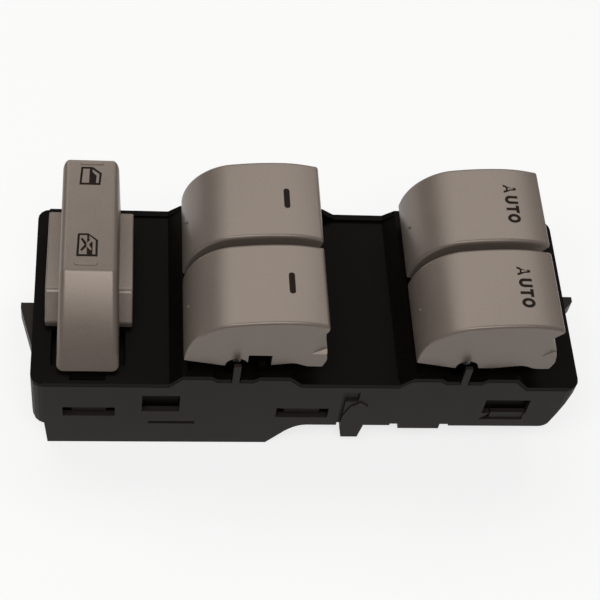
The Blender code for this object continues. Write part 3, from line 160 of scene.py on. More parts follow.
# Marks that only the scene carries
PRINT_HEIGHT = 0.03 * mm
FILM_HALF, FILM_MERGE = 0.5, 0.001
SLOT_FROM_LIP = 9.0 * mm
SLOT_LENGTH = 6.3 * mm
SLOT_WIDTH = 1.55 * mm
SLOT_DEPTH = 0.5 * mm
STRIP_FIT = 0.02 * mm
STRIP_SINK = 0.12 * mm
STRIP_ROUND = 0.06 * mm
PIP_FROM_LIP = 33.8 * mm
PIP_RADIUS = 0.42 * mm
PIP_STRETCH = (0.8, 0.9, 1.5)
LETTER_BASE = 10.55 * mm
LETTER_WIDTH = 2.65 * mm
LETTER_HEIGHT = 3.4 * mm
LETTER_STROKE = 0.84 * mm
A_STROKE_SHARE = 0.72
A_BAR_FROM_FOOT = 0.2
A_BAR_SHARE = 0.8
A_TIP_SHARE, A_TIP_HALF = 1.3, 0.08
RIDGE_HEIGHT = 0.24 * mm
RIDGE_ROUND = 0.2 * mm

# Finger ridges: the middle across and along the rocker, the length and the width
RIDGES = {"far": (0.15 * mm, 23.95 * mm, 5.9 * mm, 0.7 * mm),
          "near": (-0.75 * mm, -3.45 * mm, 5.8 * mm, 1.1 * mm)}


# Materials

NOISE_LOW, NOISE_HIGH = 0.3, 0.7
FINE_SHARE, BROAD_SHARE = 0.65, 0.35
BROAD_RATIO = 14
RELIEF_DEPTH = 0.05 * mm


def new_material(name, colour, roughness, metallic, gloss):
    """A plain material with its node tree and its shader."""
    mat = bpy.data.materials.new(name)
    mat.use_nodes = True
    shader = mat.node_tree.nodes["Principled BSDF"]
    shader.inputs["Base Color"].default_value = (*colour, 1.0)
    shader.inputs["Roughness"].default_value = roughness
    shader.inputs["Metallic"].default_value = metallic
    shader.inputs["Specular IOR Level"].default_value = gloss
    return mat, mat.node_tree, shader


def noise(tree, scale, detail=3.0, rough=0.5):
    """A noise pattern that stays with the piece."""
    place = tree.nodes.new("ShaderNodeTexCoord")
    node = tree.nodes.new("ShaderNodeTexNoise")
    node.inputs["Scale"].default_value = scale
    node.inputs["Detail"].default_value = detail
    node.inputs["Roughness"].default_value = rough
    tree.links.new(place.outputs["Object"], node.inputs["Vector"])
    return node.outputs["Fac"]


def remap(tree, value, low, high):
    """Stretches the middle of a noise's range to two new limits."""
    node = tree.nodes.new("ShaderNodeMapRange")
    node.inputs["From Min"].default_value = NOISE_LOW
    node.inputs["From Max"].default_value = NOISE_HIGH
    node.inputs["To Min"].default_value = low
    node.inputs["To Max"].default_value = high
    tree.links.new(value, node.inputs["Value"])
    return node.outputs["Result"]


def two_tone(tree, value, dark, light):
    """A colour between two tones."""
    node = tree.nodes.new("ShaderNodeMix")
    node.data_type = "RGBA"
    node.inputs[6].default_value = (*dark, 1.0)
    node.inputs[7].default_value = (*light, 1.0)
    tree.links.new(value, node.inputs[0])
    return node.outputs[2]


def bump(tree, shader, value, strength):
    """A fine relief in the surface."""
    node = tree.nodes.new("ShaderNodeBump")
    node.inputs["Strength"].default_value = strength
    node.inputs["Distance"].default_value = RELIEF_DEPTH
    tree.links.new(value, node.inputs["Height"])
    tree.links.new(node.outputs["Normal"], shader.inputs["Normal"])


def speckled(name, dark, light, roughness, spread, metallic, scale, relief, gloss=0.5):
    """A finish with fine speckle in its colour and gloss and a little relief."""
    mat, tree, shader = new_material(name, light, roughness, metallic, gloss)
    fine = noise(tree, scale)
    broad = noise(tree, scale / BROAD_RATIO, 4.0, 0.6)
    share = tree.nodes.new("ShaderNodeMath")
    share.operation = "MULTIPLY"
    share.inputs[1].default_value = FINE_SHARE
    tree.links.new(fine, share.inputs[0])
    blend = tree.nodes.new("ShaderNodeMath")
    blend.operation = "MULTIPLY_ADD"
    blend.inputs[1].default_value = BROAD_SHARE
    tree.links.new(broad, blend.inputs[0])
    tree.links.new(share.outputs[0], blend.inputs[2])
    tone = remap(tree, blend.outputs[0], 0.0, 1.0)
    tree.links.new(two_tone(tree, tone, dark, light), shader.inputs["Base Color"])
    dullness = remap(tree, blend.outputs[0], roughness - spread, roughness + spread)
    tree.links.new(dullness, shader.inputs["Roughness"])
    bump(tree, shader, fine, relief)
    return mat


SILVER = speckled("silver_satin", dark=(0.228, 0.190, 0.162), light=(0.269, 0.223, 0.191),
                  roughness=0.36, spread=0.05, metallic=0.35, scale=2200, relief=0.1, gloss=0.3)
BLACK = speckled("black_satin", dark=(0.0030, 0.0024, 0.0019), light=(0.0058, 0.0046, 0.0038),
                 roughness=0.42, spread=0.06, metallic=0.0, scale=1500, relief=0.25, gloss=0.04)
# Painted light: the same black plastic as the deck, drawn lighter to stand for the floor's light that the
# upright front wall reflects.
BLACK_PAINTED_LIT = speckled("black_satin_painted_lit", dark=(0.020, 0.0165, 0.0145), light=(0.031, 0.026, 0.0235),
                    roughness=0.46, spread=0.06, metallic=0.0, scale=1500, relief=0.25, gloss=0.1)
DARK_NYLON = speckled("dark_nylon_matt", dark=(0.007, 0.007, 0.007), light=(0.014, 0.013, 0.013),
                      roughness=0.55, spread=0.06, metallic=0.0, scale=1200, relief=0.2, gloss=0.2)
PALE_NYLON = speckled("pale_nylon", dark=(0.5, 0.48, 0.42), light=(0.6, 0.58, 0.52),
                      roughness=0.5, spread=0.06, metallic=0.0, scale=1200, relief=0.2)
STEEL = speckled("drawn_steel", dark=(0.42, 0.42, 0.43), light=(0.55, 0.55, 0.56),
                 roughness=0.3, spread=0.06, metallic=1.0, scale=1800, relief=0.15)
COPPER = speckled("rolled_copper", dark=(0.6, 0.33, 0.18), light=(0.75, 0.45, 0.27),
                  roughness=0.32, spread=0.06, metallic=1.0, scale=1800, relief=0.15)
LAMINATE = speckled("lacquered_laminate", dark=(0.012, 0.08, 0.03), light=(0.025, 0.13, 0.05),
                    roughness=0.35, spread=0.05, metallic=0.0, scale=900, relief=0.2)
PRINT = speckled("dark_print", dark=(0.012, 0.008, 0.006), light=(0.022, 0.015, 0.012),
                 roughness=0.5, spread=0.05, metallic=0.0, scale=2500, relief=0.1, gloss=0.08)

BY_SLOT = {"silver_paint": SILVER, "black_plastic": BLACK, "charcoal_plastic": BLACK_PAINTED_LIT,
           "dark_nylon": DARK_NYLON, "pale_nylon": PALE_NYLON, "steel": STEEL, "copper": COPPER,
           "board_laminate": LAMINATE}


def dress_nodes():
    """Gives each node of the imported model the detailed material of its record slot."""
    for part in frame["record"]["subparts"]:
        node = frame["nodes"][part["node"]]
        node.data.materials.clear()
        node.data.materials.append(BY_SLOT[part["material_slot"]])


# Shape helpers

def arc(cx, cy, radius, start, end, steps):
    """Points along an arc, angles in degrees."""
    angles = [radians(start + (end - start) * i / steps) for i in range(steps + 1)]
    return [(cx + radius * cos(a), cy + radius * sin(a)) for a in angles]


def spot(axis, u, v, w):
    """A point from two outline coordinates and the distance along the extrusion axis."""
    if axis == "X":
        return (w, u, v)
    if axis == "Y":
        return (u, w, v)
    return (u, v, w)


def prism(points, axis, low, high):
    """A closed solid: an outline extruded along an axis between two distances."""
    bm = bmesh.new()
    low, high = min(low, high), max(low, high)
    face = bm.faces.new([bm.verts.new(spot(axis, u, v, low)) for u, v in points])
    grown = bmesh.ops.extrude_face_region(bm, geom=[face])
    moved = [item for item in grown["geom"] if isinstance(item, bmesh.types.BMVert)]
    bmesh.ops.translate(bm, verts=moved, vec=Vector(spot(axis, 0, 0, high - low)))
    bmesh.ops.recalc_face_normals(bm, faces=bm.faces)
    return bm


def box(x, y, z):
    """A block from three pairs of limits."""
    corners = [(x[0], y[0]), (x[1], y[0]), (x[1], y[1]), (x[0], y[1])]
    return prism(corners, "Z", z[0], z[1])


def around(middle, half):
    """The two limits at a distance from a middle."""
    return (middle - half, middle + half)


def rod(axis, u, v, radius, low, high, sides=ROD_SIDES):
    """A round bar along an axis, with a flat side at its lowest and highest."""
    half = 180 / sides
    return prism(arc(u, v, radius, half, 360 - half, sides - 1), axis, low, high)


def rounded(points, reach, steps=5):
    """A closed outline whose corners are blended by a quadratic curve, where a reach is given for them."""
    out = []
    count = len(points)
    for i, point in enumerate(points):
        if i not in reach:
            out.append(point)
            continue
        here = Vector(point)
        before, after = Vector(points[i - 1]), Vector(points[(i + 1) % count])
        a = here + (before - here).normalized() * min(reach[i], (before - here).length * LONGEST_BLEND)
        b = here + (after - here).normalized() * min(reach[i], (after - here).length * LONGEST_BLEND)
        for k in range(steps + 1):
            t = k / steps
            out.append(tuple(a * (1 - t) ** 2 + here * (2 * t * (1 - t)) + b * t * t))
    return out


def inset_outline(outline, weights, depth):
    """An outline drawn inwards at each point by the depth times the point's weight."""
    turn = sum(p[0] * q[1] - q[0] * p[1] for p, q in zip(outline, outline[1:] + outline[:1]))
    way = 1 if turn > 0 else -1
    moved = []
    for i, point in enumerate(outline):
        here = Vector(point)
        back = (here - Vector(outline[i - 1])).normalized()
        ahead = (Vector(outline[(i + 1) % len(outline)]) - here).normalized()
        mean = (back + ahead).normalized()
        inward = Vector((-mean.y, mean.x)) * way
        moved.append(tuple(here + inward * depth * weights[i] / max(SHARPEST_BEND, mean.dot(ahead))))
    return moved


def lofted(outline, weights, axis, low, high, radius, steps=6, reach=None):
    """A closed solid like a prism, whose end edges are rounded by each point's weight times the radius.

    A reach for some of the outline's corners blends them in every layer.
    """
    low, high = min(low, high), max(low, high)
    turns = [radians(90 * i / steps) for i in range(steps + 1)]
    layers = [(low + radius * (1 - cos(a)), radius * (1 - sin(a))) for a in turns]
    layers += [(high - radius * (1 - cos(a)), radius * (1 - sin(a))) for a in reversed(turns)]
    bm = bmesh.new()
    rings = []
    for place, depth in layers:
        ring = inset_outline(outline, weights, depth)
        if reach:
            ring = rounded(ring, reach, CORNER_STEPS)
        rings.append([bm.verts.new(spot(axis, u, v, place)) for u, v in ring])
    for lower, upper in zip(rings, rings[1:]):
        for i in range(len(lower)):
            k = (i + 1) % len(lower)
            bm.faces.new((lower[i], lower[k], upper[k], upper[i]))
    bm.faces.new(rings[0])
    bm.faces.new(rings[-1])
    bmesh.ops.recalc_face_normals(bm, faces=bm.faces)
    return bm


def loose_object(name, bm):
    """An object of its own from a solid, which is used up."""
    mesh = bpy.data.meshes.new(name)
    bm.to_mesh(mesh)
    bm.free()
    obj = bpy.data.objects.new(name, mesh)
    bpy.context.scene.collection.objects.link(obj)
    return obj


def settle(obj):
    """Applies an object's modifiers."""
    deps = bpy.context.evaluated_depsgraph_get()
    done = obj.evaluated_get(deps)
    mesh = bpy.data.meshes.new_from_object(done, preserve_all_data_layers=True, depsgraph=deps)
    obj.modifiers.clear()
    obj.data = mesh


def shaped(obj, parts, operation):
    """Unites an object with solids, or cuts them from it."""
    guides = []
    for number, part in enumerate(parts):
        guide = loose_object(f"{obj.name}_guide_{number}", part)
        guides.append(guide)
        boolean = obj.modifiers.new(operation.title(), "BOOLEAN")
        boolean.operation = operation
        boolean.object = guide
        boolean.solver = "EXACT"
    settle(obj)
    for guide in guides:
        bpy.data.objects.remove(guide, do_unlink=True)


def smoothed(obj):
    """Smooth shading that keeps the sharp edges."""
    obj.data.shade_smooth()
    obj.data.set_sharp_from_angle(angle=radians(SHARP_ANGLE))
    weighted = obj.modifiers.new("Normals", "WEIGHTED_NORMAL")
    weighted.keep_sharp = True
    settle(obj)


def piece(name, body, mat, slot, first, adds=(), cuts=()):
    """A visible piece that rides on a body, if one is given. Its slot argument is not used."""
    obj = loose_object(name, first)
    if adds:
        shaped(obj, adds, "UNION")
    if cuts:
        shaped(obj, cuts, "DIFFERENCE")
    obj.data.materials.clear()
    obj.data.materials.append(mat)
    smoothed(obj)
    if body:
        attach(obj, body)
    return obj


# Paddles

def roof_height(from_lip, inset=0.0):
    """Height of a paddle's skin over the deck: a long crown that meets a quarter ellipse at the back."""
    run = from_lip - PEAK_FROM_LIP
    crown = PADDLE_PEAK - run * run / (2 * (CROWN_RADIUS if run > 0 else LIP_CURVE)) - inset
    past = from_lip - (PADDLE_LENGTH - BACK_ROUND)
    if past <= 0:
        return crown
    share = min(1.0, past / (BACK_ROUND - inset))
    tall = PADDLE_PEAK - BACK_DROP - BACK_CORNER - inset
    return min(crown, BACK_CORNER + tall * sqrt(1 - share * share))


def roof_points(lip_x, inset, first, crown_steps, back_steps):
    """The skin's outline from near the lip to the back corner."""
    centre = PADDLE_LENGTH - BACK_ROUND
    stations = [first + (centre - first) * i / crown_steps for i in range(crown_steps)]
    for i in range(back_steps + 1):
        stations.append(centre + (BACK_ROUND - inset) * sin(radians(90 * i / back_steps)))
    return [(lip_x - s, DECK_Z + roof_height(s, inset)) for s in stations]


def paddle_outline(lip_x, undercut):
    """Side view of a paddle: skirt, toe, hollow end under the lip, rounded lip, crown and round back."""
    skirt_z = DECK_Z + PADDLE_SKIRT
    toe_z = skirt_z + TOE_HEIGHT
    lip_z = DECK_Z + LIP_HEIGHT
    under_z = lip_z - LIP_THICKNESS
    low = [(lip_x - SKIRT_BACK, skirt_z), (lip_x - SKIRT_FRONT, skirt_z),
           (lip_x - SKIRT_STEP, skirt_z + SKIRT_STEP_RISE), (lip_x - TOE_BACK, skirt_z), (lip_x, skirt_z)]
    end = [(lip_x + TOE_REACH, toe_z), (lip_x + 0.3 * TOE_REACH, toe_z + 0.4 * (under_z - toe_z)),
           (lip_x - 0.6 * undercut, toe_z + 0.75 * (under_z - toe_z)), (lip_x - undercut, under_z),
           (lip_x - 0.2 * undercut, under_z + 0.8 * LIP_THICKNESS), (lip_x, lip_z)]
    outline = low + end + roof_points(lip_x, 0, LIP_ROUND, *OUTER_STEPS)
    # The reach of each corner's blend, counted from the back of the skirt.
    lip = len(low) + len(end) - 1
    reach = {0: 0.5 * mm, 1: 0.8 * mm, 2: 1.2 * mm, 3: 0.8 * mm, 4: 0.5 * mm, 5: 0.9 * mm, 6: 1.6 * mm,
             7: 1.6 * mm, 8: 0.6 * mm, 9: 0.5 * mm, lip: 0.5 * mm, lip + 1: 0.5 * mm,
             len(outline) - 1: 0.4 * mm}
    return rounded(outline, reach)


def paddle_weights(outline, lip_x):
    """Full rounding along the skin, fading round the lip, and a fine one along the skirt and the end wall."""
    weights = []
    for x, z in outline:
        above = z - DECK_Z - BACK_CORNER
        from_lip = lip_x - x
        fade = min(1.0, max(0.0, (from_lip - LIP_FADE_START) / LIP_FADE_LENGTH))
        on_skin = z > DECK_Z + roof_height(max(from_lip, 0.0)) - LIP_ROUND and above > 0
        weight = SKIRT_SHARE
        if on_skin:
            top_share = LIP_SHARE + (1 - LIP_SHARE) * fade
            weight += (1 - SKIRT_SHARE) * top_share * min(1.0, above / CORNER_FADE)
        weights.append(weight)
    return weights


def end_scoop(lip_x, side):
    """The dished finger hollow in the end wall."""
    bm = bmesh.new()
    bmesh.ops.create_uvsphere(bm, u_segments=56, v_segments=28, radius=1)
    bmesh.ops.scale(bm, vec=SCOOP_RADII, verts=bm.verts)
    centre = (lip_x + SCOOP_RADII[0] - SCOOP_DEPTH, side * PADDLE_MIDDLE_Y, DECK_Z + SCOOP_HEIGHT)
    bmesh.ops.translate(bm, vec=centre, verts=bm.verts)
    return bm


def side_pocket(lip_x, side):
    """The relief in the outer side face, which deepens towards the finger hollow over a sloping shelf."""
    start, end = lip_x - POCKET_LENGTH, lip_x + POCKET_PAST_LIP
    low, high = DECK_Z + POCKET_LOW, DECK_Z + POCKET_HIGH
    bm = prism([(start, low), (end, low), (end, high), (start + POCKET_LEAN, high)], "Y",
               side * (PADDLE_OUTER_Y - PADDLE_WALL), side * (PADDLE_OUTER_Y + PADDLE_WALL))
    for vert in bm.verts:
        if abs(vert.co.y) < PADDLE_OUTER_Y:
            vert.co.y = side * (PADDLE_OUTER_Y - POCKET_DEPTH - POCKET_FLARE * (vert.co.x - start))
        if vert.co.z < (low + high) / 2:
            vert.co.z += SHELF_SLOPE * (PADDLE_OUTER_Y - abs(vert.co.y))
    return bm


def pill_outline(middle_x, middle_y, length, width, steps=10):
    """A slot's outline, rounded at both ends and long in Y."""
    radius = width / 2
    half = length / 2 - radius
    return (arc(middle_x, middle_y + half, radius, 0, 180, steps)
            + arc(middle_x, middle_y - half, radius, 180, 360, steps))


def detailed_paddle(pair, hand):
    """A paddle's fine skin with its printed mark or dark strip and its pip."""
    lip_x = LIPS[pair]
    side = SIDES[hand]
    x = lip_x - PIVOT_FROM_LIP
    body = f"{pair}_{hand}_paddle"
    inner, outer = side * PADDLE_INNER_Y, side * PADDLE_OUTER_Y
    outline = paddle_outline(lip_x, LIP_UNDERCUTS[pair])
    shell = lofted(outline, paddle_weights(outline, lip_x), "Y", inner, outer, SIDE_ROUND)
    wall = side * PADDLE_WALL
    roof = roof_points(lip_x, PADDLE_WALL, END_BLOCK, *INNER_STEPS)
    hollow = [(roof[-1][0], DECK_Z), (roof[0][0], DECK_Z)] + roof
    across = sorted((inner - wall, outer + wall))
    arch_half = ARCH_RADIUS * cos(radians(180 / ROD_SIDES))
    cuts = [prism(hollow, "Y", inner + wall, outer - wall), rod("Y", x, PIVOT_Z, ARCH_RADIUS, *across),
            box(around(x, arch_half), across, (DECK_Z, PIVOT_Z)), end_scoop(lip_x, side),
            side_pocket(lip_x, side)]
    if pair == "rear":
        notch_x = (x + ARCH_RADIUS - CLEARANCE, x + ARCH_RADIUS + SIDE_NOTCH_LENGTH)
        notch_y = sorted((outer - side * SIDE_NOTCH_DEPTH, outer + wall))
        cuts.append(box(notch_x, notch_y, (DECK_Z, DECK_Z + SIDE_NOTCH_HEIGHT)))
        slot = pill_outline(lip_x - SLOT_FROM_LIP, side * PADDLE_MIDDLE_Y, SLOT_LENGTH, SLOT_WIDTH)
        cuts.append(prism(slot, "Z", DECK_Z + PADDLE_PEAK - SLOT_DEPTH, DECK_Z + PADDLE_PEAK + PADDLE_WALL))
    skin = piece(f"paddle_skin_{pair}_{hand}", body, SILVER, "silver_paint", shell, (), cuts)
    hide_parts(f"paddle_{pair}_{hand}")
    if pair == "rear":
        slot_insert(hand, lip_x, side, body)
    else:
        auto_letters(hand, lip_x, side, body)
    nub(pair, hand, lip_x, side, body)


def slot_insert(hand, lip_x, side, body):
    """The dark strip set just under the skin in a rear paddle's slot."""
    outline = pill_outline(lip_x - SLOT_FROM_LIP, side * PADDLE_MIDDLE_Y,
                           SLOT_LENGTH - STRIP_FIT, SLOT_WIDTH - STRIP_FIT)
    bottom = DECK_Z + PADDLE_PEAK - SLOT_DEPTH + STRIP_FIT
    top = DECK_Z + PADDLE_PEAK - STRIP_SINK
    strip = lofted(outline, [1.0] * len(outline), "Z", bottom, top, STRIP_ROUND, 3)
    piece(f"slot_strip_{hand}", body, PRINT, "black_plastic", strip)


def nub(pair, hand, lip_x, side, body):
    """The small raised pip low on a paddle's round back."""
    height = DECK_Z + roof_height(PIP_FROM_LIP)
    bm = bmesh.new()
    bmesh.ops.create_uvsphere(bm, u_segments=24, v_segments=14, radius=PIP_RADIUS)
    bmesh.ops.scale(bm, vec=PIP_STRETCH, verts=bm.verts)
    bmesh.ops.translate(bm, vec=(lip_x - PIP_FROM_LIP, side * PADDLE_MIDDLE_Y, height), verts=bm.verts)
    piece(f"back_pip_{pair}_{hand}", body, SILVER, "silver_paint", bm)


# Printed marks

def flat_sheet(name, outlines, place):
    """A thin printed film: closed outlines filled by the even-odd rule and laid on a surface.

    It is first made in millimetres with a rough thickness, which only tells its two faces apart.
    """
    curve = bpy.data.curves.new(name, "CURVE")
    curve.dimensions = "2D"
    curve.fill_mode = "BOTH"
    curve.extrude = FILM_HALF
    for outline in outlines:
        spline = curve.splines.new("POLY")
        spline.points.add(len(outline) - 1)
        for point, (u, v) in zip(spline.points, outline):
            point.co = (u / mm, v / mm, 0.0, 1.0)
        spline.use_cyclic_u = True
    source = bpy.data.objects.new(f"{name}_source", curve)
    bpy.context.scene.collection.objects.link(source)
    deps = bpy.context.evaluated_depsgraph_get()
    mesh = bpy.data.meshes.new_from_object(source.evaluated_get(deps), depsgraph=deps)
    bpy.data.objects.remove(source, do_unlink=True)
    bm = bmesh.new()
    bm.from_mesh(mesh)
    bmesh.ops.remove_doubles(bm, verts=bm.verts, dist=FILM_MERGE)
    for vert in bm.verts:
        vert.co = place(vert.co.x * mm, vert.co.y * mm, PRINT_HEIGHT if vert.co.z > 0 else -PRINT_HEIGHT)
    bmesh.ops.recalc_face_normals(bm, faces=bm.faces)
    return bm


def letter_a(width, height, line):
    """A capital A, whose stroke is thinner than the other letters' so that its hole stays open."""
    line = A_STROKE_SHARE * line
    middle = width / 2
    slant = middle / height
    foot = line * sqrt(1 + slant * slant)
    bar_low = A_BAR_FROM_FOOT * height
    bar_high = bar_low + A_BAR_SHARE * line
    flat = line / 2

    def left_inner(z):
        return foot + slant * z * (middle - flat) / middle

    outer = [(0, 0), (middle - flat, height), (middle + flat, height), (width, 0), (width - foot, 0),
             (width - left_inner(bar_low), bar_low), (left_inner(bar_low), bar_low), (foot, 0)]
    top = height - A_TIP_SHARE * line
    hole = [(left_inner(bar_high), bar_high), (width - left_inner(bar_high), bar_high),
            (middle + A_TIP_HALF * line, top), (middle - A_TIP_HALF * line, top)]
    return [outer, hole]


def letter_u(width, height, line):
    radius = width / 2
    inner = radius - line
    outer = [(0, height)] + arc(radius, radius, radius, 180, 360, 14)
    outer += [(width, height), (width - line, height)]
    back = arc(radius, radius, inner, 0, -180, 14) + [(line, height)]
    return [outer + back]


def letter_t(width, height, line):
    middle = width / 2
    half = line / 2
    return [[(0, height), (width, height), (width, height - line), (middle + half, height - line),
             (middle + half, 0), (middle - half, 0), (middle - half, height - line), (0, height - line)]]


def ellipse(cx, cy, rx, ry, steps=28):
    return [(cx + rx * cos(2 * pi * i / steps), cy + ry * sin(2 * pi * i / steps)) for i in range(steps)]


def letter_o(width, height, line):
    rx, ry = width / 2, height / 2
    return [ellipse(rx, ry, rx, ry), ellipse(rx, ry, rx - line, ry - line)]


def auto_letters(hand, lip_x, side, body):
    """The generic word AUTO along a front paddle's crown, reading towards the viewer."""
    outlines = []
    for letter, share, start in ((letter_a, 1.0, -6.2 * mm), (letter_u, 1.0, -2.6 * mm),
                                 (letter_t, 0.9, 0.55 * mm), (letter_o, 1.08, 3.3 * mm)):
        shape = letter(share * LETTER_WIDTH, LETTER_HEIGHT, LETTER_STROKE)
        outlines += [[(u + start, v) for u, v in outline] for outline in shape]

    def place(u, v, height):
        from_lip = LETTER_BASE - v
        return (lip_x - from_lip, side * PADDLE_MIDDLE_Y - u, DECK_Z + roof_height(from_lip) + height)

    piece(f"auto_mark_{hand}", body, PRINT, "black_plastic", flat_sheet(f"auto_{hand}", outlines, place))


def on_lock(u, v, height):
    """A place on the lock rocker's flat top."""
    return (LOCK_X + u, v, lock_top_z(v) + height)


def window_marks():
    """The generic window pictures of the lock rocker: a pane half lowered, and a pane crossed out."""
    half_open = [[(-2.9, 18.0), (-2.5, 23.0), (0.4, 23.0), (2.7, 21.3), (2.4, 18.0)],
                 [(-2.3, 18.55), (-2.0, 22.5), (-0.35, 22.5), (-0.5, 18.55)],
                 [(0.3, 22.4), (2.1, 21.05), (1.9, 18.55), (1.25, 18.55), (1.4, 20.6), (0.35, 21.6)]]
    crossed = [[(-3.2, -1.6), (-2.95, 4.3), (-2.6, 4.6), (-0.3, 4.6), (2.1, 2.8), (2.05, -1.6)],
               [(-2.6, -1.05), (-2.4, 4.1), (-0.6, 4.1), (-0.65, -1.05)],
               [(-2.2, 3.1), (-1.75, 3.4), (-0.75, 2.1), (-0.75, 0.95), (-1.9, -0.25), (-2.25, 0.15),
                (-1.2, 1.5)],
               [(-0.1, 4.0), (1.5, 2.75), (1.5, -1.05), (0.75, -1.05), (0.8, 2.1), (-0.1, 3.1)]]
    light_cross = [[(-0.6, 2.0), (0.35, 3.0), (0.6, 2.6), (-0.1, 1.5), (0.55, 0.35), (0.3, 0.0), (-0.6, 1.0)]]
    for name, outlines, mat, slot in (("half_open", half_open, PRINT, "black_plastic"),
                                      ("crossed", crossed, PRINT, "black_plastic"),
                                      ("cross_light", light_cross, SILVER, "silver_paint")):
        sized = [[(u * mm, v * mm) for u, v in outline] for outline in outlines]
        lift = 2 if slot == "silver_paint" else 1
        sheet = flat_sheet(name, sized, lambda u, v, height: on_lock(u, v, lift * height))
        piece(f"window_mark_{name}", "lock_rocker", mat, slot, sheet)


def finger_ridge(name, middle_u, middle_v, length, width):
    """A low rounded ridge across the lock rocker's top."""
    outline = [(LOCK_X + middle_u + v, middle_v - u) for u, v in pill_outline(0, 0, length, width)]
    bm = lofted(outline, [1.0] * len(outline), "Z", -RIDGE_HEIGHT, RIDGE_HEIGHT, RIDGE_ROUND, 4)
    for vert in bm.verts:
        vert.co.z += lock_top_z(vert.co.y)
    piece(name, "lock_rocker", SILVER, "silver_paint", bm)


# Return springs

SPRING_TURNS = 4
SPRING_WIRE = 0.35 * mm
STEPS_PER_TURN = 24
WIRE_SIDES = 12


def return_spring(node):
    """A coil that stays in place on the housing, foot and top alike."""
    low, high = (Vector(corner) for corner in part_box(node))
    x, y = (low.x + high.x) / 2, (low.y + high.y) / 2
    radius = (high.x - low.x) / 2 - SPRING_WIRE
    rise = high.z - low.z - 2 * SPRING_WIRE
    steps = STEPS_PER_TURN * SPRING_TURNS
    bm = bmesh.new()
    rings = []
    for i in range(steps + 1):
        turn = 2 * pi * SPRING_TURNS * i / steps
        z = low.z + SPRING_WIRE + rise * i / steps
        ring = []
        for along, up in arc(0, 0, SPRING_WIRE, 0, 360, WIRE_SIDES)[:-1]:
            out = radius + along
            ring.append(bm.verts.new((x + out * cos(turn), y + out * sin(turn), z + up)))
        rings.append(ring)
    for lower, upper in zip(rings, rings[1:]):
        for j in range(WIRE_SIDES):
            k = (j + 1) % WIRE_SIDES
            bm.faces.new((lower[j], lower[k], upper[k], upper[j]))
    bm.faces.new(rings[0])
    bm.faces.new(rings[-1])
    bmesh.ops.recalc_face_normals(bm, faces=bm.faces)
    coil = piece(f"{node}_coil", None, STEEL, "steel", bm)
    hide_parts(node)
    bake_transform(coil)


# Window lock rocker

def lock_top_z(y):
    """Height of the rocker's flat top, a straight line from its bend to its far end."""
    slope = (LOCK_TOP_HEIGHT - LOCK_BEND_HEIGHT) / (LOCK_FAR_Y - LOCK_BEND_Y)
    return DECK_Z + LOCK_BEND_HEIGHT + slope * (y - LOCK_BEND_Y)


def lock_face(inset, steps):
    """The rounded near face from its foot up to the bend, bulging by the sag and fullest below its middle."""
    foot = (LOCK_NEAR_Y + inset, DECK_Z + LOCK_NEAR_HEIGHT)
    bend = (LOCK_BEND_Y + inset * 0.3, DECK_Z + LOCK_BEND_HEIGHT - inset)
    run, rise = bend[0] - foot[0], bend[1] - foot[1]
    span = sqrt(run * run + rise * rise)
    points = []
    for i in range(steps + 1):
        t = i / steps
        bulge = (LOCK_FACE_SAG - 0.2 * inset) * t * (1 - t) * (BULGE_AT_FOOT - BULGE_FALL * t)
        points.append((foot[0] + run * t - bulge * rise / span, foot[1] + rise * t + bulge * run / span))
    return points


def lock_bar():
    """The rocker's bar, rounded along its sides, at its far corners and at the corners of its foot."""
    face = lock_face(0, 22)
    # Two points near the foot go, to make room for the blend of its corner.
    del face[1:3]
    outline = face + [(LOCK_FAR_Y, lock_top_z(LOCK_FAR_Y)),
                      (LOCK_FAR_Y - LOCK_FAR_LEAN, DECK_Z + LOCK_FAR_HEIGHT)]
    last = len(face) - 1
    reach = {0: 0.5 * mm, last: 0.5 * mm, last + 1: 0.7 * mm, last + 2: 0.4 * mm}
    fade = [0.5 + 0.5 * min(1.0, (Vector(point) - Vector(face[0])).length / LOCK_FADE) for point in face]
    weights = fade + [1.0, 0.6]
    return drafted(lofted(outline, weights, "X", *around(LOCK_X, LOCK_HALF_WIDTH), LOCK_ROUND, 8, reach))


def drafted(bm):
    """Narrows a rocker solid towards its top, for the mould's draft."""
    for vert in bm.verts:
        share = (vert.co.z - DECK_Z) / LOCK_TOP_HEIGHT
        half = LOCK_HALF_WIDTH + (LOCK_TOP_HALF_WIDTH - LOCK_HALF_WIDTH) * share
        vert.co.x = LOCK_X + (vert.co.x - LOCK_X) * half / LOCK_HALF_WIDTH
    return bm


def wing_outline():
    """Side view of the wings, a thin plate bent along its ridge."""
    under = WING_THICKNESS
    line = [(WING_NEAR[0], DECK_Z + WING_NEAR[1]), (WING_RIDGE[0], DECK_Z + WING_RIDGE[1]),
            (WING_FAR[0], DECK_Z + WING_FAR[1]), (WING_FAR[0], DECK_Z + WING_FAR[1] - under),
            (WING_RIDGE[0] + 0.2 * under, DECK_Z + WING_RIDGE[1] - 1.1 * under),
            (WING_NEAR[0] + 0.3 * under, DECK_Z + WING_NEAR[1] - under),
            (WING_NEAR[0], DECK_Z + WING_NEAR[1] - under)]
    return rounded(line, {0: 0.5 * mm, 1: 0.9 * mm, 2: 0.5 * mm})


def wing_middle(y):
    """Height halfway through the wings' thickness."""
    end = WING_FAR if y > WING_RIDGE[0] else WING_NEAR
    share = (y - WING_RIDGE[0]) / (end[0] - WING_RIDGE[0])
    return DECK_Z + WING_RIDGE[1] + share * (end[1] - WING_RIDGE[1]) - WING_THICKNESS / 2


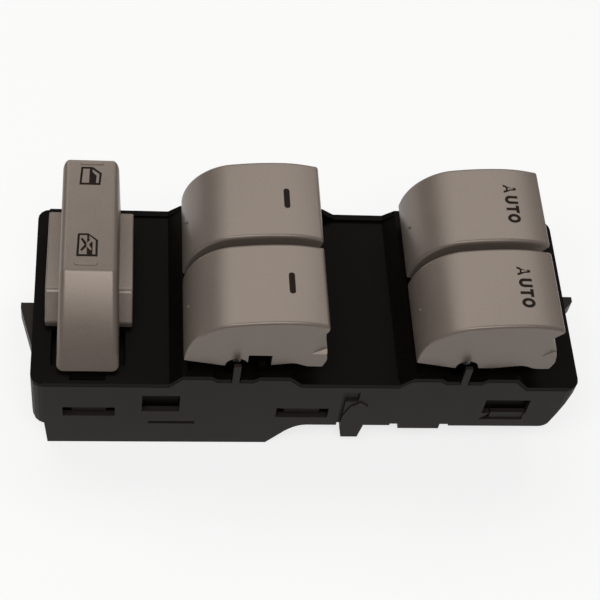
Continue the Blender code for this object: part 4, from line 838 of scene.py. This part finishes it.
def detailed_lock():
    """The rocker's fine bar, its wings and skirt in one saddle, its marks and its finger ridges."""
    wing = wing_outline()
    wings = lofted(wing, [1.0] * len(wing), "X", *around(LOCK_X, WING_HALF_WIDTH), WING_ROUND, 4)
    skirt_low = LOCK_PIVOT_Z - LOCK_SKIRT_DROP
    under_wings = [(y, wing_middle(y)) for y in (LOCK_SKIRT_FAR_Y, WING_RIDGE[0], LOCK_SKIRT_NEAR_Y)]
    skirt = prism([(LOCK_SKIRT_NEAR_Y, skirt_low), (LOCK_SKIRT_FAR_Y, skirt_low)] + under_wings, "X",
                  *around(LOCK_X, LOCK_SKIRT_HALF_WIDTH))
    inner_half = LOCK_HALF_WIDTH - LOCK_WALL
    far_y = LOCK_FAR_Y - LOCK_WALL
    below = DECK_Z - LOCK_TOP_HEIGHT
    hollow = ([(LOCK_NEAR_Y + LOCK_WALL, below)] + lock_face(LOCK_WALL, 12)
              + [(far_y, lock_top_z(far_y) - LOCK_WALL), (far_y - LOCK_FAR_LEAN, below)])
    rooms = [drafted(prism(hollow, "X", *around(LOCK_X, inner_half))) for _ in range(2)]
    skirt_room = box(around(LOCK_X, LOCK_SKIRT_HALF_WIDTH - LOCK_WALL),
                     (LOCK_SKIRT_NEAR_Y + LOCK_WALL, LOCK_SKIRT_FAR_Y - LOCK_WALL),
                     (below, DECK_Z + WING_FAR[1] - WING_THICKNESS - CLEARANCE))
    past_skirt = around(LOCK_X, LOCK_SKIRT_HALF_WIDTH + LOCK_WALL)
    bore = rod("X", LOCK_PIVOT_Y, LOCK_PIVOT_Z, BORE_RADIUS, *past_skirt, 32)
    skin = piece("lock_rocker_skin", "lock_rocker", SILVER, "silver_paint", lock_bar(), (), [rooms[0]])
    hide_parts("lock_rocker")
    saddle_cuts = [rooms[1], skirt_room, bore]
    piece("lock_saddle_skin", "lock_rocker", SILVER, "silver_paint", skirt, [wings], saddle_cuts)
    window_marks()
    for end, measures in RIDGES.items():
        finger_ridge(f"finger_ridge_{end}", *measures)


# Stage

CAMERA_AT = (-49.2 * mm, -222.1 * mm, 350.3 * mm)
YAW, PITCH, ROLL = radians(12.22), radians(54.84), radians(10.97)
LENS = 90.0
SENSOR_WIDTH = 36.0
NEAREST = 0.01
LAMP_TARGET = (0, 0, 0.03)
LAMP_COLOUR = (1.0, 0.985, 0.965)
WORLD_STRENGTH = 0.12
FLOOR_REACH = 12.0
FLOOR_GLOW = 0.76
FLOOR_GRAIN = 6.0
FLOOR_DARK, FLOOR_LIGHT = (0.27, 0.27, 0.27), (0.29, 0.29, 0.29)
WHITE = (1.0, 1.0, 1.0, 1.0)


def add_camera():
    """A camera at a fixed place, turned by its yaw, pitch and roll."""
    ahead = Vector((sin(YAW) * cos(PITCH), cos(YAW) * cos(PITCH), -sin(PITCH)))
    level = Vector((cos(YAW), -sin(YAW), 0.0))
    above = level.cross(ahead)
    right = level * cos(ROLL) + above * sin(ROLL)
    top = above * cos(ROLL) - level * sin(ROLL)
    data = bpy.data.cameras.new("view")
    data.lens = LENS
    data.sensor_width = SENSOR_WIDTH
    data.clip_start = NEAREST
    camera = bpy.data.objects.new("view", data)
    bpy.context.scene.collection.objects.link(camera)
    turn = Matrix((right, top, -ahead)).transposed().to_4x4()
    camera.matrix_world = Matrix.Translation(CAMERA_AT) @ turn
    bpy.context.scene.camera = camera


def area_light(name, place, size, power):
    """A soft box that faces the part."""
    data = bpy.data.lights.new(name, "AREA")
    data.shape = "RECTANGLE"
    data.size, data.size_y = size
    data.energy = power
    data.color = LAMP_COLOUR
    lamp = bpy.data.objects.new(name, data)
    lamp.location = place
    lamp.rotation_euler = (Vector(LAMP_TARGET) - Vector(place)).to_track_quat("-Z", "Y").to_euler()
    bpy.context.scene.collection.objects.link(lamp)


def seen_share(tree, outputs):
    """One where a ray comes from any of the named sources, else zero."""
    path = tree.nodes.new("ShaderNodeLightPath")
    total = path.outputs[outputs[0]]
    for name in outputs[1:]:
        either = tree.nodes.new("ShaderNodeMath")
        either.operation = "MAXIMUM"
        tree.links.new(total, either.inputs[0])
        tree.links.new(path.outputs[name], either.inputs[1])
        total = either.outputs[0]
    return total


def pale_floor_material():
    """A pale floor: it looks white, keeps soft shadows and throws little light back up."""
    mat, tree, shader = new_material("pale_floor", FLOOR_LIGHT, roughness=0.9, metallic=0.0, gloss=0.0)
    grain = two_tone(tree, noise(tree, FLOOR_GRAIN), FLOOR_DARK, FLOOR_LIGHT)
    tree.links.new(grain, shader.inputs["Base Color"])
    shader.inputs["Emission Color"].default_value = WHITE
    seen = seen_share(tree, ("Is Camera Ray", "Is Glossy Ray", "Is Transmission Ray"))
    glow = tree.nodes.new("ShaderNodeMath")
    glow.operation = "MULTIPLY"
    glow.inputs[1].default_value = FLOOR_GLOW
    tree.links.new(seen, glow.inputs[0])
    tree.links.new(glow.outputs[0], shader.inputs["Emission Strength"])
    return mat


def add_stage():
    """The floor, a faint even light from all round, and two soft boxes."""
    mesh = bpy.data.meshes.new("floor")
    corners = [(FLOOR_REACH * u, FLOOR_REACH * v, 0) for u, v in ((-1, -1), (1, -1), (1, 1), (-1, 1))]
    mesh.from_pydata(corners, [], [(0, 1, 2, 3)])
    floor = bpy.data.objects.new("floor", mesh)
    bpy.context.scene.collection.objects.link(floor)
    mesh.materials.append(pale_floor_material())
    world = bpy.data.worlds.new("studio")
    bpy.context.scene.world = world
    world.use_nodes = True
    background = world.node_tree.nodes["Background"]
    background.inputs["Color"].default_value = WHITE
    background.inputs["Strength"].default_value = WORLD_STRENGTH
    area_light("far_box", place=(-0.06, 0.42, 0.66), size=(1.2, 0.35), power=2.8)
    area_light("near_box", place=(-0.1, -0.29, 0.63), size=(0.6, 0.2), power=2.0)


dress_nodes()
add_camera()
for pair_name in LIPS:
    for hand_name in SIDES:
        detailed_paddle(pair_name, hand_name)
        for end_name in ("front", "back"):
            return_spring(f"spring_{pair_name}_{hand_name}_{end_name}")
detailed_lock()
add_stage()
bpy.context.scene.view_settings.view_transform = "Standard"
